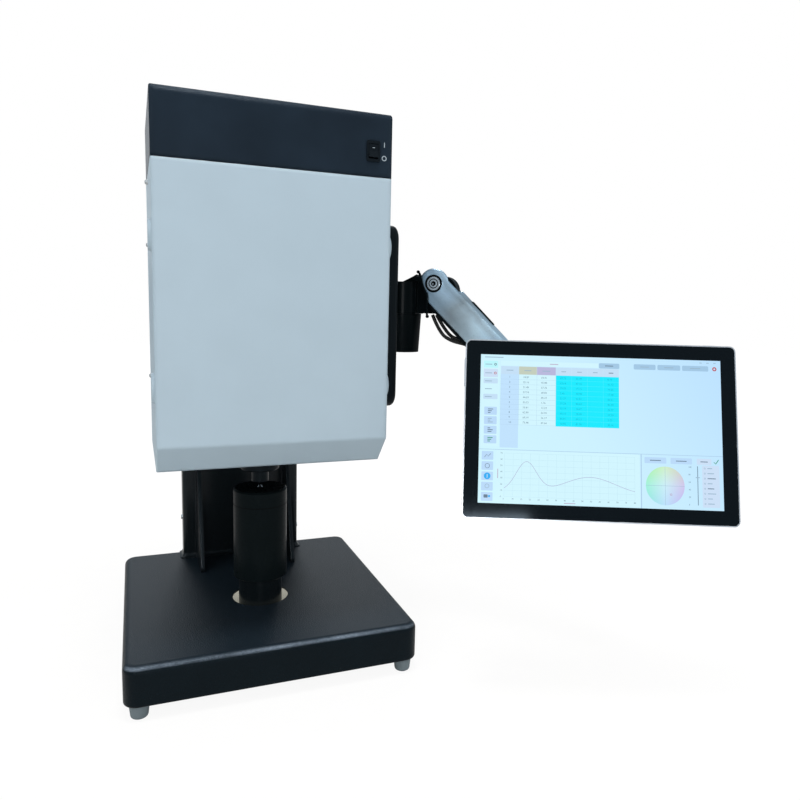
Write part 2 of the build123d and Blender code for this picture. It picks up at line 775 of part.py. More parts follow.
# the integrating sphere is two flanged hemispheres; the lower one stands on the port plate
sphere_outer = sphere_radius + sphere_wall
sphere_foot = plate_thickness + head_bottom
sphere_z = sphere_foot + sphere_outer - 2.0
sphere_flange = 4.0
flange_radius = sphere_outer + 4.0
sphere_plane = Plane.XY.offset(sphere_z)
for name, side in (("sphere_lower", -1), ("sphere_upper", 1)):
    with BuildPart() as hemisphere:
        with Locations((0, 0, sphere_z)):
            Sphere(sphere_outer)
        with BuildSketch(sphere_plane):
            Circle(flange_radius)
        extrude(amount=side * sphere_flange)
        with Locations((0, 0, sphere_z)):
            Sphere(sphere_radius, mode=Mode.SUBTRACT)
        # the port, and at the top the viewing port with a flat for the lens tube
        with BuildSketch(sphere_plane):
            Circle(port_bore_radius)
        extrude(amount=side * (sphere_outer + 1), mode=Mode.SUBTRACT)
        with BuildSketch(sphere_plane.offset(side * (sphere_outer - 2.0))):
            Circle(sphere_outer)
        extrude(amount=side * 10.0, mode=Mode.SUBTRACT)
        split(bisect_by=sphere_plane, keep=Keep.TOP if side > 0 else Keep.BOTTOM)
    save(hemisphere, name)

lens_bottom = sphere_z + sphere_outer - 2.0
lens_length = 34.0

# two flash lamps in trumpet reflectors sit on the upper hemisphere
lamp_angle = 52.0       # from the vertical
lamp_length = 26.0
with BuildPart() as flash_lamps:
    for side in (-1, 1):
        lamp_out = Vector(side * sin(radians(lamp_angle)), 0, cos(radians(lamp_angle)))
        lamp_plane = Plane(origin=Vector(0, 0, sphere_z) + lamp_out * sphere_outer, z_dir=lamp_out)
        with BuildSketch(lamp_plane):
            Circle(9.0)
        with BuildSketch(lamp_plane.offset(lamp_length)):
            Circle(14.0)
        loft()
save(flash_lamps, "flash_lamps")

spine_front = spine_back - spine_thickness
shelf_top = head_top - shelf_drop
with BuildPart() as spine_frame:
    with BuildSketch(Plane.YZ.offset(-spine_width / 2)):
        with BuildLine():
            Polyline(
                (spine_front, sphere_foot),
                (spine_back, sphere_foot),
                (spine_back, shelf_top),
                (spine_front - shelf_depth, shelf_top),
                (spine_front - shelf_depth, shelf_top - spine_thickness),
                (spine_front, shelf_top - spine_thickness),
                close=True,
            )
        make_face()
    extrude(amount=spine_width)
    with BuildSketch(Plane.XZ.offset(-spine_back - 1)):
        with Locations(*bracket_spots):
            Circle(bracket_bolt_radius + thread_gap)
    extrude(amount=spine_thickness + 2, mode=Mode.SUBTRACT)
    # room for the sphere's flange
    with BuildSketch(sphere_plane.offset(-10)):
        Circle(flange_radius + 1.0)
    extrude(amount=20.0, mode=Mode.SUBTRACT)
save(spine_frame, "spine_frame")

module_bottom = lens_bottom + lens_length
with BuildPart() as spectral_module:
    with BuildSketch(Plane.XY.offset(module_bottom)):
        with Locations((0, spine_front - module_depth / 2)):
            Rectangle(module_width, module_depth)
    extrude(amount=module_height)
    fillet(spectral_module.edges().filter_by(Axis.Z), radius=6.0)
    # its lens tube reaches down to the sphere's viewing port
    extrude(ring(port_bore_radius + 3.0, port_bore_radius, Plane.XY.offset(lens_bottom)), amount=lens_length)
    with BuildSketch(Plane.XY.offset(lens_bottom + lens_length / 2)):
        Circle(port_bore_radius)
    extrude(amount=5.0)
save(spectral_module, "spectral_module")

board_bottom = module_bottom + module_height + 6.0
board_width = spine_width - 20.0
post_inset = 7.0
with BuildPart() as main_board:
    with BuildSketch(Plane.XZ.offset(-spine_front + board_gap)):
        with Locations((0, board_bottom + board_height / 2)):
            Rectangle(board_width, board_height)
    extrude(amount=board_thickness)
    # standoffs to the spine and the tall parts on the board
    with Locations(*[Location((x, spine_front, board_bottom + z), (90, 0, 0))
                     for x in (post_inset - board_width / 2, board_width / 2 - post_inset)
                     for z in (post_inset, board_height - post_inset)]):
        Cylinder(3.0, board_gap, align=(Align.CENTER, Align.CENTER, Align.MIN))
    board_front = spine_front - board_gap - board_thickness
    with Locations((-board_width / 4, board_front, board_bottom + board_height / 2),
                   (board_width / 5, board_front, board_bottom + board_height / 3)):
        Box(board_width / 4, 3, board_width / 4, align=(Align.CENTER, Align.MAX, Align.CENTER))
save(main_board, "main_board")

supply_top = shelf_top - spine_thickness
with BuildPart() as power_supply:
    with Locations((0, spine_front, supply_top)):
        Box(spine_width - 12.0, supply_depth, supply_height, align=(Align.CENTER, Align.MAX, Align.MAX))
    # the flash lamps' storage capacitor lies along its front
    with Locations(Location((0, spine_front - supply_depth, supply_top - supply_height / 2), (0, 90, 0))):
        Cylinder(supply_height / 2, capacitor_length)
save(power_supply, "power_supply")

# ---------------------------------------------------------------- rear panel
inlet_x = inlet_inset - head_width / 2
inlet_z = head_top - inlet_drop
socket_x = head_width / 2 - socket_inset
panel_plane = Plane.XZ.offset(-head_back)
with BuildPart() as rear_panel:
    with BuildSketch(panel_plane):
        with Locations((0, (head_bottom + head_top - cover_wall) / 2)):
            Rectangle(inner_width - 2 * seat_gap, head_height - cover_wall - seat_gap)
        with Locations((inlet_x, inlet_z)):
            Rectangle(inlet_width - 19.0, inlet_height - 7.0, mode=Mode.SUBTRACT)
        with Locations((socket_x, inlet_z)):
            Rectangle(socket_width - 12.0, socket_height - 3.0, mode=Mode.SUBTRACT)
        with Locations(*bracket_spots):
            Circle(bracket_bolt_radius + thread_gap, mode=Mode.SUBTRACT)
        # vent slots
        with GridLocations(9.0, 26.0, 10, 2):
            with Locations((0, seam - 20.0)):
                SlotOverall(20.0, 3.0, rotation=90, mode=Mode.SUBTRACT)
    extrude(amount=panel_thickness)
save(rear_panel, "rear_panel")

with BuildPart() as mains_inlet:
    with BuildSketch(panel_plane):
        with Locations((inlet_x, inlet_z)):
            RectangleRounded(inlet_width, inlet_height, 4.0)
    extrude(amount=-3.0)
    with BuildSketch(panel_plane):
        with Locations((inlet_x, inlet_z)):
            Rectangle(inlet_width - 19.6, inlet_height - 7.6)
    extrude(amount=16.0)
    with BuildSketch(panel_plane.offset(-3.0)):
        with Locations((inlet_x, inlet_z)):
            RectangleRounded(24.0, 16.5, 2.0)
    extrude(amount=16.0, mode=Mode.SUBTRACT)
    with BuildSketch(panel_plane.offset(13.0)):
        with Locations((inlet_x, inlet_z + 2.0), (inlet_x - 7.0, inlet_z - 2.0), (inlet_x + 7.0, inlet_z - 2.0)):
            Rectangle(2.0, 4.0)
    extrude(amount=-12.0)
save(mains_inlet, "mains_inlet")

with BuildPart() as data_socket:
    with BuildSketch(panel_plane):
        with Locations((socket_x, inlet_z)):
            RectangleRounded(socket_width, socket_height, 1.5)
    extrude(amount=-1.0)
    with BuildSketch(panel_plane):
        with Locations((socket_x, inlet_z)):
            Rectangle(socket_width - 12.6, socket_height - 3.6)
    extrude(amount=10.0)
    with BuildSketch(panel_plane.offset(-1.0)):
        with Locations((socket_x, inlet_z)):
            Trapezoid(16.0, 7.0, 80)
    extrude(amount=6.0, mode=Mode.SUBTRACT)
save(data_socket, "data_socket")

# ---------------------------------------------------------------- bracket from column to head
with BuildPart() as head_bracket:
    for face_y, reach in ((head_back, bracket_flange), (column_front, -bracket_flange)):
        with BuildSketch(Plane.XZ.offset(-face_y)):
            with Locations((0, bracket_z)):
                RectangleRounded(bracket_width, bracket_height, 6.0)
        extrude(amount=-reach)
    with BuildSketch(Plane.XZ.offset(-head_back)):
        with Locations((0, bracket_z)):
            Rectangle(bracket_width - 4 * bracket_ear, bracket_height)
    extrude(amount=head_back - column_front)
    with BuildSketch(Plane.XZ.offset(-head_back)):
        with Locations((0, bracket_z)):
            Rectangle(bracket_width - 4 * bracket_ear - 2 * bracket_wall, bracket_height - 2 * bracket_wall)
    extrude(amount=head_back - column_front, mode=Mode.SUBTRACT)
    with BuildSketch(Plane.XZ.offset(-column_front)):
        with Locations(*bracket_spots):
            Circle(bracket_bolt_radius + thread_gap)
    extrude(amount=column_front - head_back, mode=Mode.SUBTRACT)
save(head_bracket, "head_bracket")

with BuildPart() as bracket_bolts:
    # short bolts into the head's spine, and bolts through the column's front wall
    with BuildSketch(Plane.XZ.offset(-head_back - bracket_flange)):
        with Locations(*bracket_spots):
            RegularPolygon(bracket_bolt_radius * 2.0, 6)
    extrude(amount=-4.0)
    with BuildSketch(Plane.XZ.offset(-head_back - bracket_flange)):
        with Locations(*bracket_spots):
            Circle(bracket_bolt_radius)
    extrude(amount=bracket_flange + panel_thickness + spine_thickness + 4.0)
    with BuildSketch(Plane.XZ.offset(-column_front + bracket_flange)):
        with Locations(*bracket_spots):
            RegularPolygon(bracket_bolt_radius * 2.0, 6)
    extrude(amount=4.0)
    with BuildSketch(Plane.XZ.offset(-column_front + bracket_flange)):
        with Locations(*bracket_spots):
            Circle(bracket_bolt_radius)
    extrude(amount=-bracket_flange - column_wall - 4.0)
save(bracket_bolts, "bracket_bolts")

# ================================================================ wall plate and arm
with BuildPart() as wall_plate:
    with BuildSketch(Plane.YZ.offset(plate_inner)):
        with Locations((plate_centre_y, plate_centre_z)):
            RectangleRounded(plate_width, plate_height, plate_corner)
    extrude(amount=plate_depth)
    fillet(wall_plate.faces().sort_by(Axis.X)[-1].edges(), radius=plate_edge)
    # the back is dished, leaving a rim and a boss round each screw
    with BuildSketch(Plane.YZ.offset(plate_inner)):
        with Locations((plate_centre_y, plate_centre_z)):
            RectangleRounded(plate_width - 2 * plate_rim, plate_height - 2 * plate_rim, plate_corner - plate_rim)
        with Locations(*plate_spots):
            Circle(standoff_radius, mode=Mode.SUBTRACT)
    extrude(amount=plate_depth / 2, mode=Mode.SUBTRACT)
    with BuildSketch(Plane.YZ.offset(plate_inner)):
        with Locations(*plate_spots):
            Circle(plate_screw_radius + thread_gap)
    extrude(amount=plate_depth, mode=Mode.SUBTRACT)
    with BuildSketch(Plane.YZ.offset(plate_outer)):
        with Locations(*plate_spots):
            Circle(plate_screw_radius * 2 + thread_gap)
    extrude(amount=-plate_screw_radius, mode=Mode.SUBTRACT)
save(wall_plate, "wall_plate")

with BuildPart() as plate_standoffs:
    with BuildSketch(Plane.YZ.offset(head_width / 2)):
        with Locations(*plate_spots):
            Circle(standoff_radius)
            Circle(plate_screw_radius + thread_gap, mode=Mode.SUBTRACT)
    extrude(amount=plate_standoff)
save(plate_standoffs, "plate_standoffs")

# cap screws through the plate, with nuts inside the cover
with BuildPart() as plate_screws:
    for radius, start, length in (
        (plate_screw_radius * 2, plate_outer, -plate_screw_radius),
        (plate_screw_radius, plate_outer, inner_width / 2 - plate_outer - 6.0),
    ):
        with BuildSketch(Plane.YZ.offset(start)):
            with Locations(*plate_spots):
                Circle(radius)
        extrude(amount=length)
    with BuildSketch(Plane.YZ.offset(inner_width / 2)):
        with Locations(*plate_spots):
            RegularPolygon(plate_screw_radius * 1.8, 6)
    extrude(amount=-plate_screw_radius * 1.6)
save(plate_screws, "plate_screws")

# the socket's barrel hangs on the plate; its spindle stands up into the yoke
barrel_reach = swivel_x - plate_outer
with BuildPart() as arm_socket:
    with BuildSketch(Plane(origin=(swivel_x, swivel_y, barrel_top))):
        Circle(barrel_radius)
    extrude(amount=-barrel_height, taper=barrel_taper)
    with BuildSketch(Plane.YZ.offset(plate_outer)):
        with Locations((swivel_y, (barrel_top + barrel_bottom) / 2)):
            RectangleRounded(2 * barrel_radius - 8.0, barrel_height, 3.0)
    extrude(amount=barrel_reach)
    with BuildSketch(Plane(origin=(swivel_x, swivel_y, barrel_top))):
        Circle(swivel_pin_radius)
    extrude(amount=yoke_drop - 6.0)
save(arm_socket, "arm_socket")

link_pivot = (link_drop_x, link_drop_z)
with BuildPart() as arm_yoke:
    with BuildSketch(Plane(origin=(swivel_x, swivel_y, lift_pivot_z - yoke_drop))):
        Circle(barrel_radius)
    extrude(amount=yoke_drop + yoke_rise)
    # a shoulder rises to the joint, and a narrower tongue carries both pivots
    with BuildSketch(yoke_plane):
        with BuildLine():
            Polyline(
                (-arm_reach, -yoke_drop),
                (-arm_reach, yoke_rise),
                (5.3 - arm_reach, yoke_rise),
                (18.8 - arm_reach, 8.3),
                (-arm_end_radius - 4.0, 10.6),
                (-arm_end_radius - 4.0, -yoke_drop),
                close=True,
            )
        make_face()
    extrude(amount=shoulder_half, both=True)
    with BuildSketch(yoke_plane):
        with Locations((tongue_dome_x, tongue_dome_z)):
            Circle(tongue_dome_radius)
        with Locations(link_pivot):
            Circle(link_boss_radius)
        with BuildLine():
            Polyline(
                (-arm_end_radius - 5.0, -yoke_drop + 0.8),
                (-arm_end_radius - 5.0, 8.0),
                (10.0, 8.0),
                (link_drop_x + 4.0, link_drop_z - link_boss_radius),
                close=True,
            )
        make_face()
    extrude(amount=tongue_half, both=True)
    with BuildSketch(yoke_plane):
        Circle(pin_radius + run_gap)
    extrude(amount=tongue_half, both=True, mode=Mode.SUBTRACT)
    # the lower link's pin stands out on both sides of the tongue
    with BuildSketch(yoke_plane):
        with Locations(link_pivot):
            Circle(link_pin_radius)
    extrude(amount=link_half, both=True)
    with BuildSketch(Plane(origin=(swivel_x, swivel_y, lift_pivot_z - yoke_drop))):
        Circle(swivel_pin_radius + run_gap)
    extrude(amount=yoke_drop - 5.0, mode=Mode.SUBTRACT)
save(arm_yoke, "arm_yoke")

# a thin curved clip with rounded ends holds the cables to the yoke's flank
clip_width = 1.8
clip_knots = (
    (-19.2, 13.5), (-16.2, 8.8), (-14.9, 2.6), (-13.0, -4.0), (-10.2, -9.8),
    (-7.9, -15.5), (-7.3, -22.0), (-7.4, -30.0), (-6.4, -yoke_drop - 2.7),
)
clip_plane = yoke_plane.offset(shoulder_half)
with BuildPart() as cable_clip:
    with BuildSketch(clip_plane):
        with BuildLine():
            Spline(*clip_knots)
        trace(line_width=2.4)
        with Locations(clip_knots[0], clip_knots[-1]):
            Circle(1.9)
        # a tab lies on the shoulder and carries the clip
        with BuildLine():
            Polyline((-arm_reach / 2 - 5.0, 7.6), (-15.6, 7.6), (-14.8, 2.6), (-arm_reach / 2 - 5.0, 2.6), close=True)
        make_face()
    extrude(amount=clip_width)
save(cable_clip, "cable_clip")

with BuildPart() as arm_shell:
    with BuildSketch(arm_plane):
        with BuildLine():
            top_near = (arm_end_radius**2 - arm_top**2) ** 0.5
            back = (-arm_end_radius * cos(radians(22)), -arm_end_radius * sin(radians(22)))
            ThreePointArc((top_near, arm_top), (-arm_end_radius * 0.8, arm_end_radius * 0.6), back)
            Polyline(
                back,
                (-8.3, -11.6),
                (-1.6, -13.5),
                (3.4, -13.8),
                (10.6, -arm_bottom_near),
                (arm_length - arm_top, -arm_bottom_far),
                (arm_length, -arm_top),
            )
            ThreePointArc((arm_length, -arm_top), (arm_length + arm_top, 0), (arm_length, arm_top))
            Line((arm_length, arm_top), (top_near, arm_top))
        make_face()
    extrude(amount=arm_half, both=True)
    # both long upper edges are rounded between the pivots
    with BuildSketch(Plane(origin=lift_pivot + arm_along * top_near, x_dir=-arm_front, z_dir=arm_along)):
        edge_middle = arm_half - arm_round / 2
        with Locations((-edge_middle, arm_top - arm_round / 2), (edge_middle, arm_top - arm_round / 2)):
            Rectangle(arm_round, arm_round)
        edge_centre = arm_half - arm_round
        with Locations((-edge_centre, arm_top - arm_round), (edge_centre, arm_top - arm_round)):
            Circle(arm_round, mode=Mode.SUBTRACT)
    extrude(amount=arm_length - top_near, mode=Mode.SUBTRACT)
    # a bent channel: open below, and open above at both pivots
    with BuildSketch(arm_plane):
        with BuildLine():
            Polyline(
                (-2 * arm_end_radius, -2 * arm_end_radius),
                (arm_length + 2 * arm_end_radius, -2 * arm_end_radius),
                (arm_length + 2 * arm_end_radius, 2 * arm_end_radius),
                (arm_length - far_wall_end, 2 * arm_end_radius),
                (arm_length - far_wall_end, arm_top - arm_cheek),
                (top_wall_start, arm_top - arm_cheek),
                (top_wall_start, 2 * arm_end_radius),
                (-2 * arm_end_radius, 2 * arm_end_radius),
                close=True,
            )
        make_face()
    extrude(amount=arm_half - arm_cheek, both=True, mode=Mode.SUBTRACT)
    # the far cheek ends in a smaller boss and rises to the top wall
    with BuildSketch(arm_plane.offset(-arm_half)):
        with BuildLine():
            Polyline(
                (-2 * arm_end_radius, 3.2 - far_cheek_radius),
                (0, 3.2 - far_cheek_radius),
                (0, far_cheek_radius),
                (top_wall_start - 10.0, arm_top - 4.5),
                (top_wall_start - 1.0, arm_top),
                (top_wall_start - 1.0, 2 * arm_end_radius),
                (-2 * arm_end_radius, 2 * arm_end_radius),
                close=True,
            )
        make_face()
        Circle(far_cheek_radius, mode=Mode.SUBTRACT)
    extrude(amount=arm_cheek, mode=Mode.SUBTRACT)
    # two bulkheads hold the counterbalance spring
    with BuildSketch(arm_plane):
        with Locations((bulkhead_near, bulkhead_lift), (bulkhead_far, bulkhead_lift)):
            Rectangle(bulkhead_thickness, 2 * (arm_top - arm_cheek - bulkhead_thickness / 2))
    extrude(amount=arm_half - arm_cheek / 2, both=True)
    with BuildSketch(arm_plane):
        with Locations((0, 0), (arm_length, 0)):
            Circle(pin_radius)
    extrude(amount=arm_half, both=True, mode=Mode.SUBTRACT)
    # the adjuster's slot lies in the top near its far edge
    with BuildSketch(arm_plane.offset(-strip_inset)):
        with Locations((strip_middle, arm_top)):
            Rectangle(strip_length, 2 * strip_depth)
    extrude(amount=-strip_width, mode=Mode.SUBTRACT)
save(arm_shell, "arm_shell")

with BuildPart() as adjuster_strip:
    with BuildSketch(arm_plane.offset(-strip_inset)):
        with Locations((strip_middle, arm_top - strip_depth / 2)):
            Rectangle(strip_length, strip_depth)
    extrude(amount=-strip_width)
save(adjuster_strip, "adjuster_strip")

with BuildPart() as arm_pins:
    with BuildSketch(arm_plane):
        with Locations((0, 0), (arm_length, 0)):
            Circle(pin_radius)
    extrude(amount=arm_half, both=True)
    for side in (1, -1):
        with BuildSketch(arm_plane.offset(side * arm_half)):
            with Locations((0, 0), (arm_length, 0)):
                Circle(cap_bore)
        extrude(amount=side * cap_height_outer)
        with BuildSketch(arm_plane.offset(side * (arm_half + cap_height_outer))):
            with Locations((0, 0), (arm_length, 0)):
                RegularPolygon(2.2, 6)
        extrude(amount=-side * 3.0, mode=Mode.SUBTRACT)
save(arm_pins, "arm_pins")

# a black washer and a bright nut ring ride on each end of the pins
with BuildPart() as pivot_caps:
    for side in (1, -1):
        for u in (0, arm_length):
            cap_plane = Plane(origin=lift_pivot + arm_along * u + arm_front * side * arm_half, z_dir=arm_front * side)
            extrude(ring(cap_radius, cap_bore, cap_plane), amount=cap_height_outer * 0.6)
            extrude(ring(cap_radius - 3.0, cap_bore, cap_plane), amount=cap_height_outer)
save(pivot_caps, "pivot_caps")

spring_lift = 2.0
with BuildPart() as gas_spring:
    spring_base = Plane(origin=lift_pivot + arm_along * (bulkhead_near + bulkhead_thickness / 2) + arm_plane.y_dir * spring_lift,
                        z_dir=arm_along)
    with BuildSketch(spring_base):
        Circle(7.0)
    extrude(amount=(bulkhead_far - bulkhead_near) * 0.6)
    with BuildSketch(spring_base):
        Circle(3.0)
    extrude(amount=bulkhead_far - bulkhead_near - bulkhead_thickness)
save(gas_spring, "gas_spring")

link_plane = Plane(origin=yoke_plane.from_local_coords(Vector(*link_pivot, 0)), x_dir=arm_along, z_dir=arm_front)
with BuildPart() as lower_link:
    with BuildSketch(link_plane):
        with Locations((arm_length / 2, 0)):
            Rectangle(arm_length, 2 * link_half_height)
        with Locations((0, 0), (arm_length, 0)):
            Circle(link_end_radius)
    extrude(amount=link_half, both=True)
    # a shallow channel whose floor stops short of both pivots
    with BuildSketch(link_plane):
        with BuildLine():
            Polyline(
                (-2 * link_end_radius, -2 * link_end_radius),
                (link_floor_start, -2 * link_end_radius),
                (link_floor_start, link_floor - link_half_height),
                (arm_length - link_floor_start, link_floor - link_half_height),
                (arm_length - link_floor_start, -2 * link_end_radius),
                (arm_length + 2 * link_end_radius, -2 * link_end_radius),
                (arm_length + 2 * link_end_radius, 2 * link_end_radius),
                (-2 * link_end_radius, 2 * link_end_radius),
                close=True,
            )
        make_face()
    extrude(amount=link_half - link_cheek, both=True, mode=Mode.SUBTRACT)
    with BuildSketch(link_plane):
        Circle(link_pin_radius + run_gap)
        with Locations((arm_length, 0)):
            Circle(link_pin_radius + 3 * run_gap)
    extrude(amount=link_half, both=True, mode=Mode.SUBTRACT)
    # the cables come up through a slot in the floor
    with BuildSketch(link_plane):
        with Locations((cable_slot_middle, -link_half_height)):
            Rectangle(cable_slot_length, 4 * link_floor)
    extrude(amount=cable_slot_half, both=True, mode=Mode.SUBTRACT)
save(lower_link, "lower_link")

# ================================================================ far joint
boss_top = tilt_axis_z - collar_height / 2 - 0.7
boss_bottom = boss_top - end_boss_height
boss_drop = boss_top - far_pivot.Z
with BuildPart() as end_yoke:
    with BuildSketch(end_plane):
        Circle(end_eye_radius)
        with Locations(link_pivot):
            Circle(end_eye_radius - 1.0)
        with BuildLine():
            Polyline(
                (-end_eye_radius, 0),
                (end_eye_radius, 0),
                (end_eye_radius, boss_drop),
                (end_reach, boss_drop),
                (end_reach, boss_drop - end_boss_height * 0.8),
                (link_drop_x - end_eye_radius + 1.0, link_drop_z),
                close=True,
            )
        make_face()
    extrude(amount=tongue_half, both=True)
    with BuildSketch(Plane(origin=(end_post.X, end_post.Y, boss_bottom))):
        Circle(end_boss_radius)
    extrude(amount=end_boss_height)
    with BuildSketch(Plane(origin=(end_post.X, end_post.Y, boss_top))):
        Circle(post_pin_radius)
    extrude(amount=collar_height + 0.7)
    with BuildSketch(end_plane):
        Circle(pin_radius + run_gap)
    extrude(amount=tongue_half, both=True, mode=Mode.SUBTRACT)
    with BuildSketch(end_plane):
        with Locations(link_pivot):
            Circle(link_pin_radius)
    extrude(amount=link_half, both=True)
save(end_yoke, "end_yoke")

ear_inner = tilt_block_width / 2 + seat_gap
neck_stop = tilt_block_radius + 2 * seat_gap
neck_half = 8.0
with BuildPart() as swivel_collar:
    with BuildSketch(Plane(origin=(end_post.X, end_post.Y, tilt_axis_z - collar_height / 2))):
        Circle(collar_radius)
    extrude(amount=collar_height)
    # the neck reaches forward to a clevis
    with BuildSketch(neck_plane):
        with Locations((-(neck_reach + neck_stop) / 2, 0)):
            Rectangle(neck_reach - neck_stop, 2 * ear_radius)
    extrude(amount=neck_half, both=True)
    with BuildSketch(neck_plane):
        with Locations((-neck_stop - ear_thickness / 2, 0)):
            Rectangle(ear_thickness, 2 * ear_radius)
    extrude(amount=ear_inner + ear_thickness, both=True)
    for side in (1, -1):
        with BuildSketch(neck_plane.offset(side * ear_inner)):
            Circle(ear_radius)
            with Locations((-(neck_stop + ear_thickness) / 2, 0)):
                Rectangle(neck_stop + ear_thickness, 2 * ear_radius)
            Circle(tilt_pin_radius + run_gap, mode=Mode.SUBTRACT)
        extrude(amount=side * ear_thickness)
    with BuildSketch(Plane(origin=(end_post.X, end_post.Y, tilt_axis_z - collar_height / 2))):
        Circle(post_pin_radius + run_gap)
    extrude(amount=collar_height, mode=Mode.SUBTRACT)
save(swivel_collar, "swivel_collar")

tilt_side_plane = Plane(origin=tilt_axis, x_dir=tablet_out, z_dir=tablet_x)
with BuildPart() as tilt_block:
    with BuildSketch(tilt_side_plane):
        Circle(tilt_block_radius)
        with Locations((hub_start / 2, 0)):
            Rectangle(hub_start, 2 * tilt_block_radius)
    extrude(amount=tilt_block_width / 2, both=True)
    with BuildSketch(tilt_side_plane):
        Circle(tilt_pin_radius)
    extrude(amount=ear_inner + ear_thickness + 1.0, both=True)
    with BuildSketch(tilt_plane.offset(hub_start)):
        Circle(hub_radius)
    extrude(amount=hub_thickness)
    # spindle on which the tablet turns from landscape to portrait
    with BuildSketch(tilt_plane.offset(hub_start + hub_thickness)):
        Circle(spindle_radius)
    extrude(amount=plate_back - hub_start - hub_thickness + holder_thickness)
save(tilt_block, "tilt_block")

with BuildPart() as tablet_holder:
    with BuildSketch(tilt_plane.offset(hub_start + hub_thickness + seat_gap)):
        Circle(hub_radius - 4.0)
    extrude(amount=plate_back - hub_start - hub_thickness - seat_gap)
    with BuildSketch(tilt_plane.offset(plate_back)):
        RectangleRounded(vesa_size, vesa_size, 8.0)
    extrude(amount=holder_thickness)
    with BuildSketch(tilt_plane.offset(plate_back + holder_thickness)):
        with GridLocations(vesa_pitch, vesa_pitch, 2, 2):
            Circle(holder_pad_radius)
    extrude(amount=tilt_reach - tablet_thickness / 2 - plate_back - holder_thickness)
    with BuildSketch(tilt_plane.offset(hub_start)):
        Circle(spindle_radius + run_gap)
    extrude(amount=tilt_reach, mode=Mode.SUBTRACT)
save(tablet_holder, "tablet_holder")

# ================================================================ tablet
front_face = tablet_thickness / 2
top_button_plane = Plane(origin=tablet_plane.from_local_coords(Vector(top_button_x, tablet_height / 2, 0)),
                         x_dir=tablet_x, z_dir=tablet_plane.y_dir)
side_button_plane = Plane(origin=tablet_plane.from_local_coords(Vector(-tablet_width / 2, side_button_y, 0)),
                          x_dir=tablet_plane.y_dir, z_dir=-tablet_x)
with BuildPart() as tablet_case:
    with BuildSketch(tablet_plane.offset(-front_face)):
        RectangleRounded(tablet_width, tablet_height, tablet_corner)
    extrude(amount=tablet_thickness)
    fillet(tablet_case.edges().filter_by(lambda e: tablet_plane.to_local_coords(e.center()).Z < -front_face + 0.1),
           radius=3.0)
    with BuildSketch(tablet_plane.offset(front_face)):
        RectangleRounded(tablet_width - 2 * tablet_rim, tablet_height - 2 * tablet_rim, tablet_corner - tablet_rim)
    extrude(amount=-glass_thickness, mode=Mode.SUBTRACT)
    for plane, length in ((top_button_plane, top_button_length), (side_button_plane, side_button_length)):
        with BuildSketch(plane):
            SlotOverall(length + 2 * button_gap, button_width + 2 * button_gap)
        extrude(amount=-button_depth - button_travel - button_gap, mode=Mode.SUBTRACT)
save(tablet_case, "tablet_case")

with BuildPart() as cover_glass:
    with BuildSketch(tablet_plane.offset(front_face - glass_thickness)):
        RectangleRounded(tablet_width - 2 * tablet_rim, tablet_height - 2 * tablet_rim, tablet_corner - tablet_rim)
    extrude(amount=glass_thickness)
save(cover_glass, "cover_glass")

for name, plane, length in (
    ("power_button", top_button_plane, top_button_length),
    ("volume_button", side_button_plane, side_button_length),
):
    with BuildPart() as button:
        with BuildSketch(plane.offset(-button_depth)):
            SlotOverall(length, button_width)
        extrude(amount=button_depth + button_proud)
    save(button, name)

# ================================================================ cables
# two cables leave the yoke's underside and loop forward into the arm's channel
cable_start_z = -yoke_drop - 0.8
cable_routes = (
    ("cable_outer", cable_offset, (
        (-3.7, cable_start_z), (5.8, -58.7), (20.0, -68.4), (39.8, -71.9), (53.7, -76.6))),
    ("cable_inner", -cable_offset, (
        (-0.3, cable_start_z), (13.2, -60.3), (28.5, -67.6), (48.7, -71.7))),
)
for name, side, corners in cable_routes:
    knots = [yoke_plane.from_local_coords(Vector(x, z, side)) for x, z in corners]
    radii = []
    for before, knot, after in zip(knots, knots[1:], knots[2:]):
        turn = (knot - before).get_angle(after - knot)
        run = min((knot - before).length, (after - knot).length)
        radii.append(0.45 * run / tan(radians(turn / 2)))
    print(name, "bend radii", [round(r, 1) for r in radii])
    with BuildPart() as cable:
        with BuildLine() as route:
            FilletPolyline(*knots, radius=radii)
        with BuildSketch(Plane(origin=route.line @ 0, z_dir=route.line % 0)):
            Circle(cable_radius)
        sweep(path=route.line)
    save(cable, name)
    run_length = sum(edge.length for edge in route.edges())
    print(name, "volume over section times length", round(cable.part.volume / (run_length * pi * cable_radius**2), 4))
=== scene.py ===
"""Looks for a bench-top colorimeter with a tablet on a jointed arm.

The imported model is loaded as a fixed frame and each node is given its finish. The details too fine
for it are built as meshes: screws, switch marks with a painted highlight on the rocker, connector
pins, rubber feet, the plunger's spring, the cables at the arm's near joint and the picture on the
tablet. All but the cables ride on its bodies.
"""

import logging
from dataclasses import dataclass, field
from enum import Enum
from math import cos, exp, hypot, pi, radians, sin, tan

import bmesh
import bpy
from mathutils import Matrix, Vector


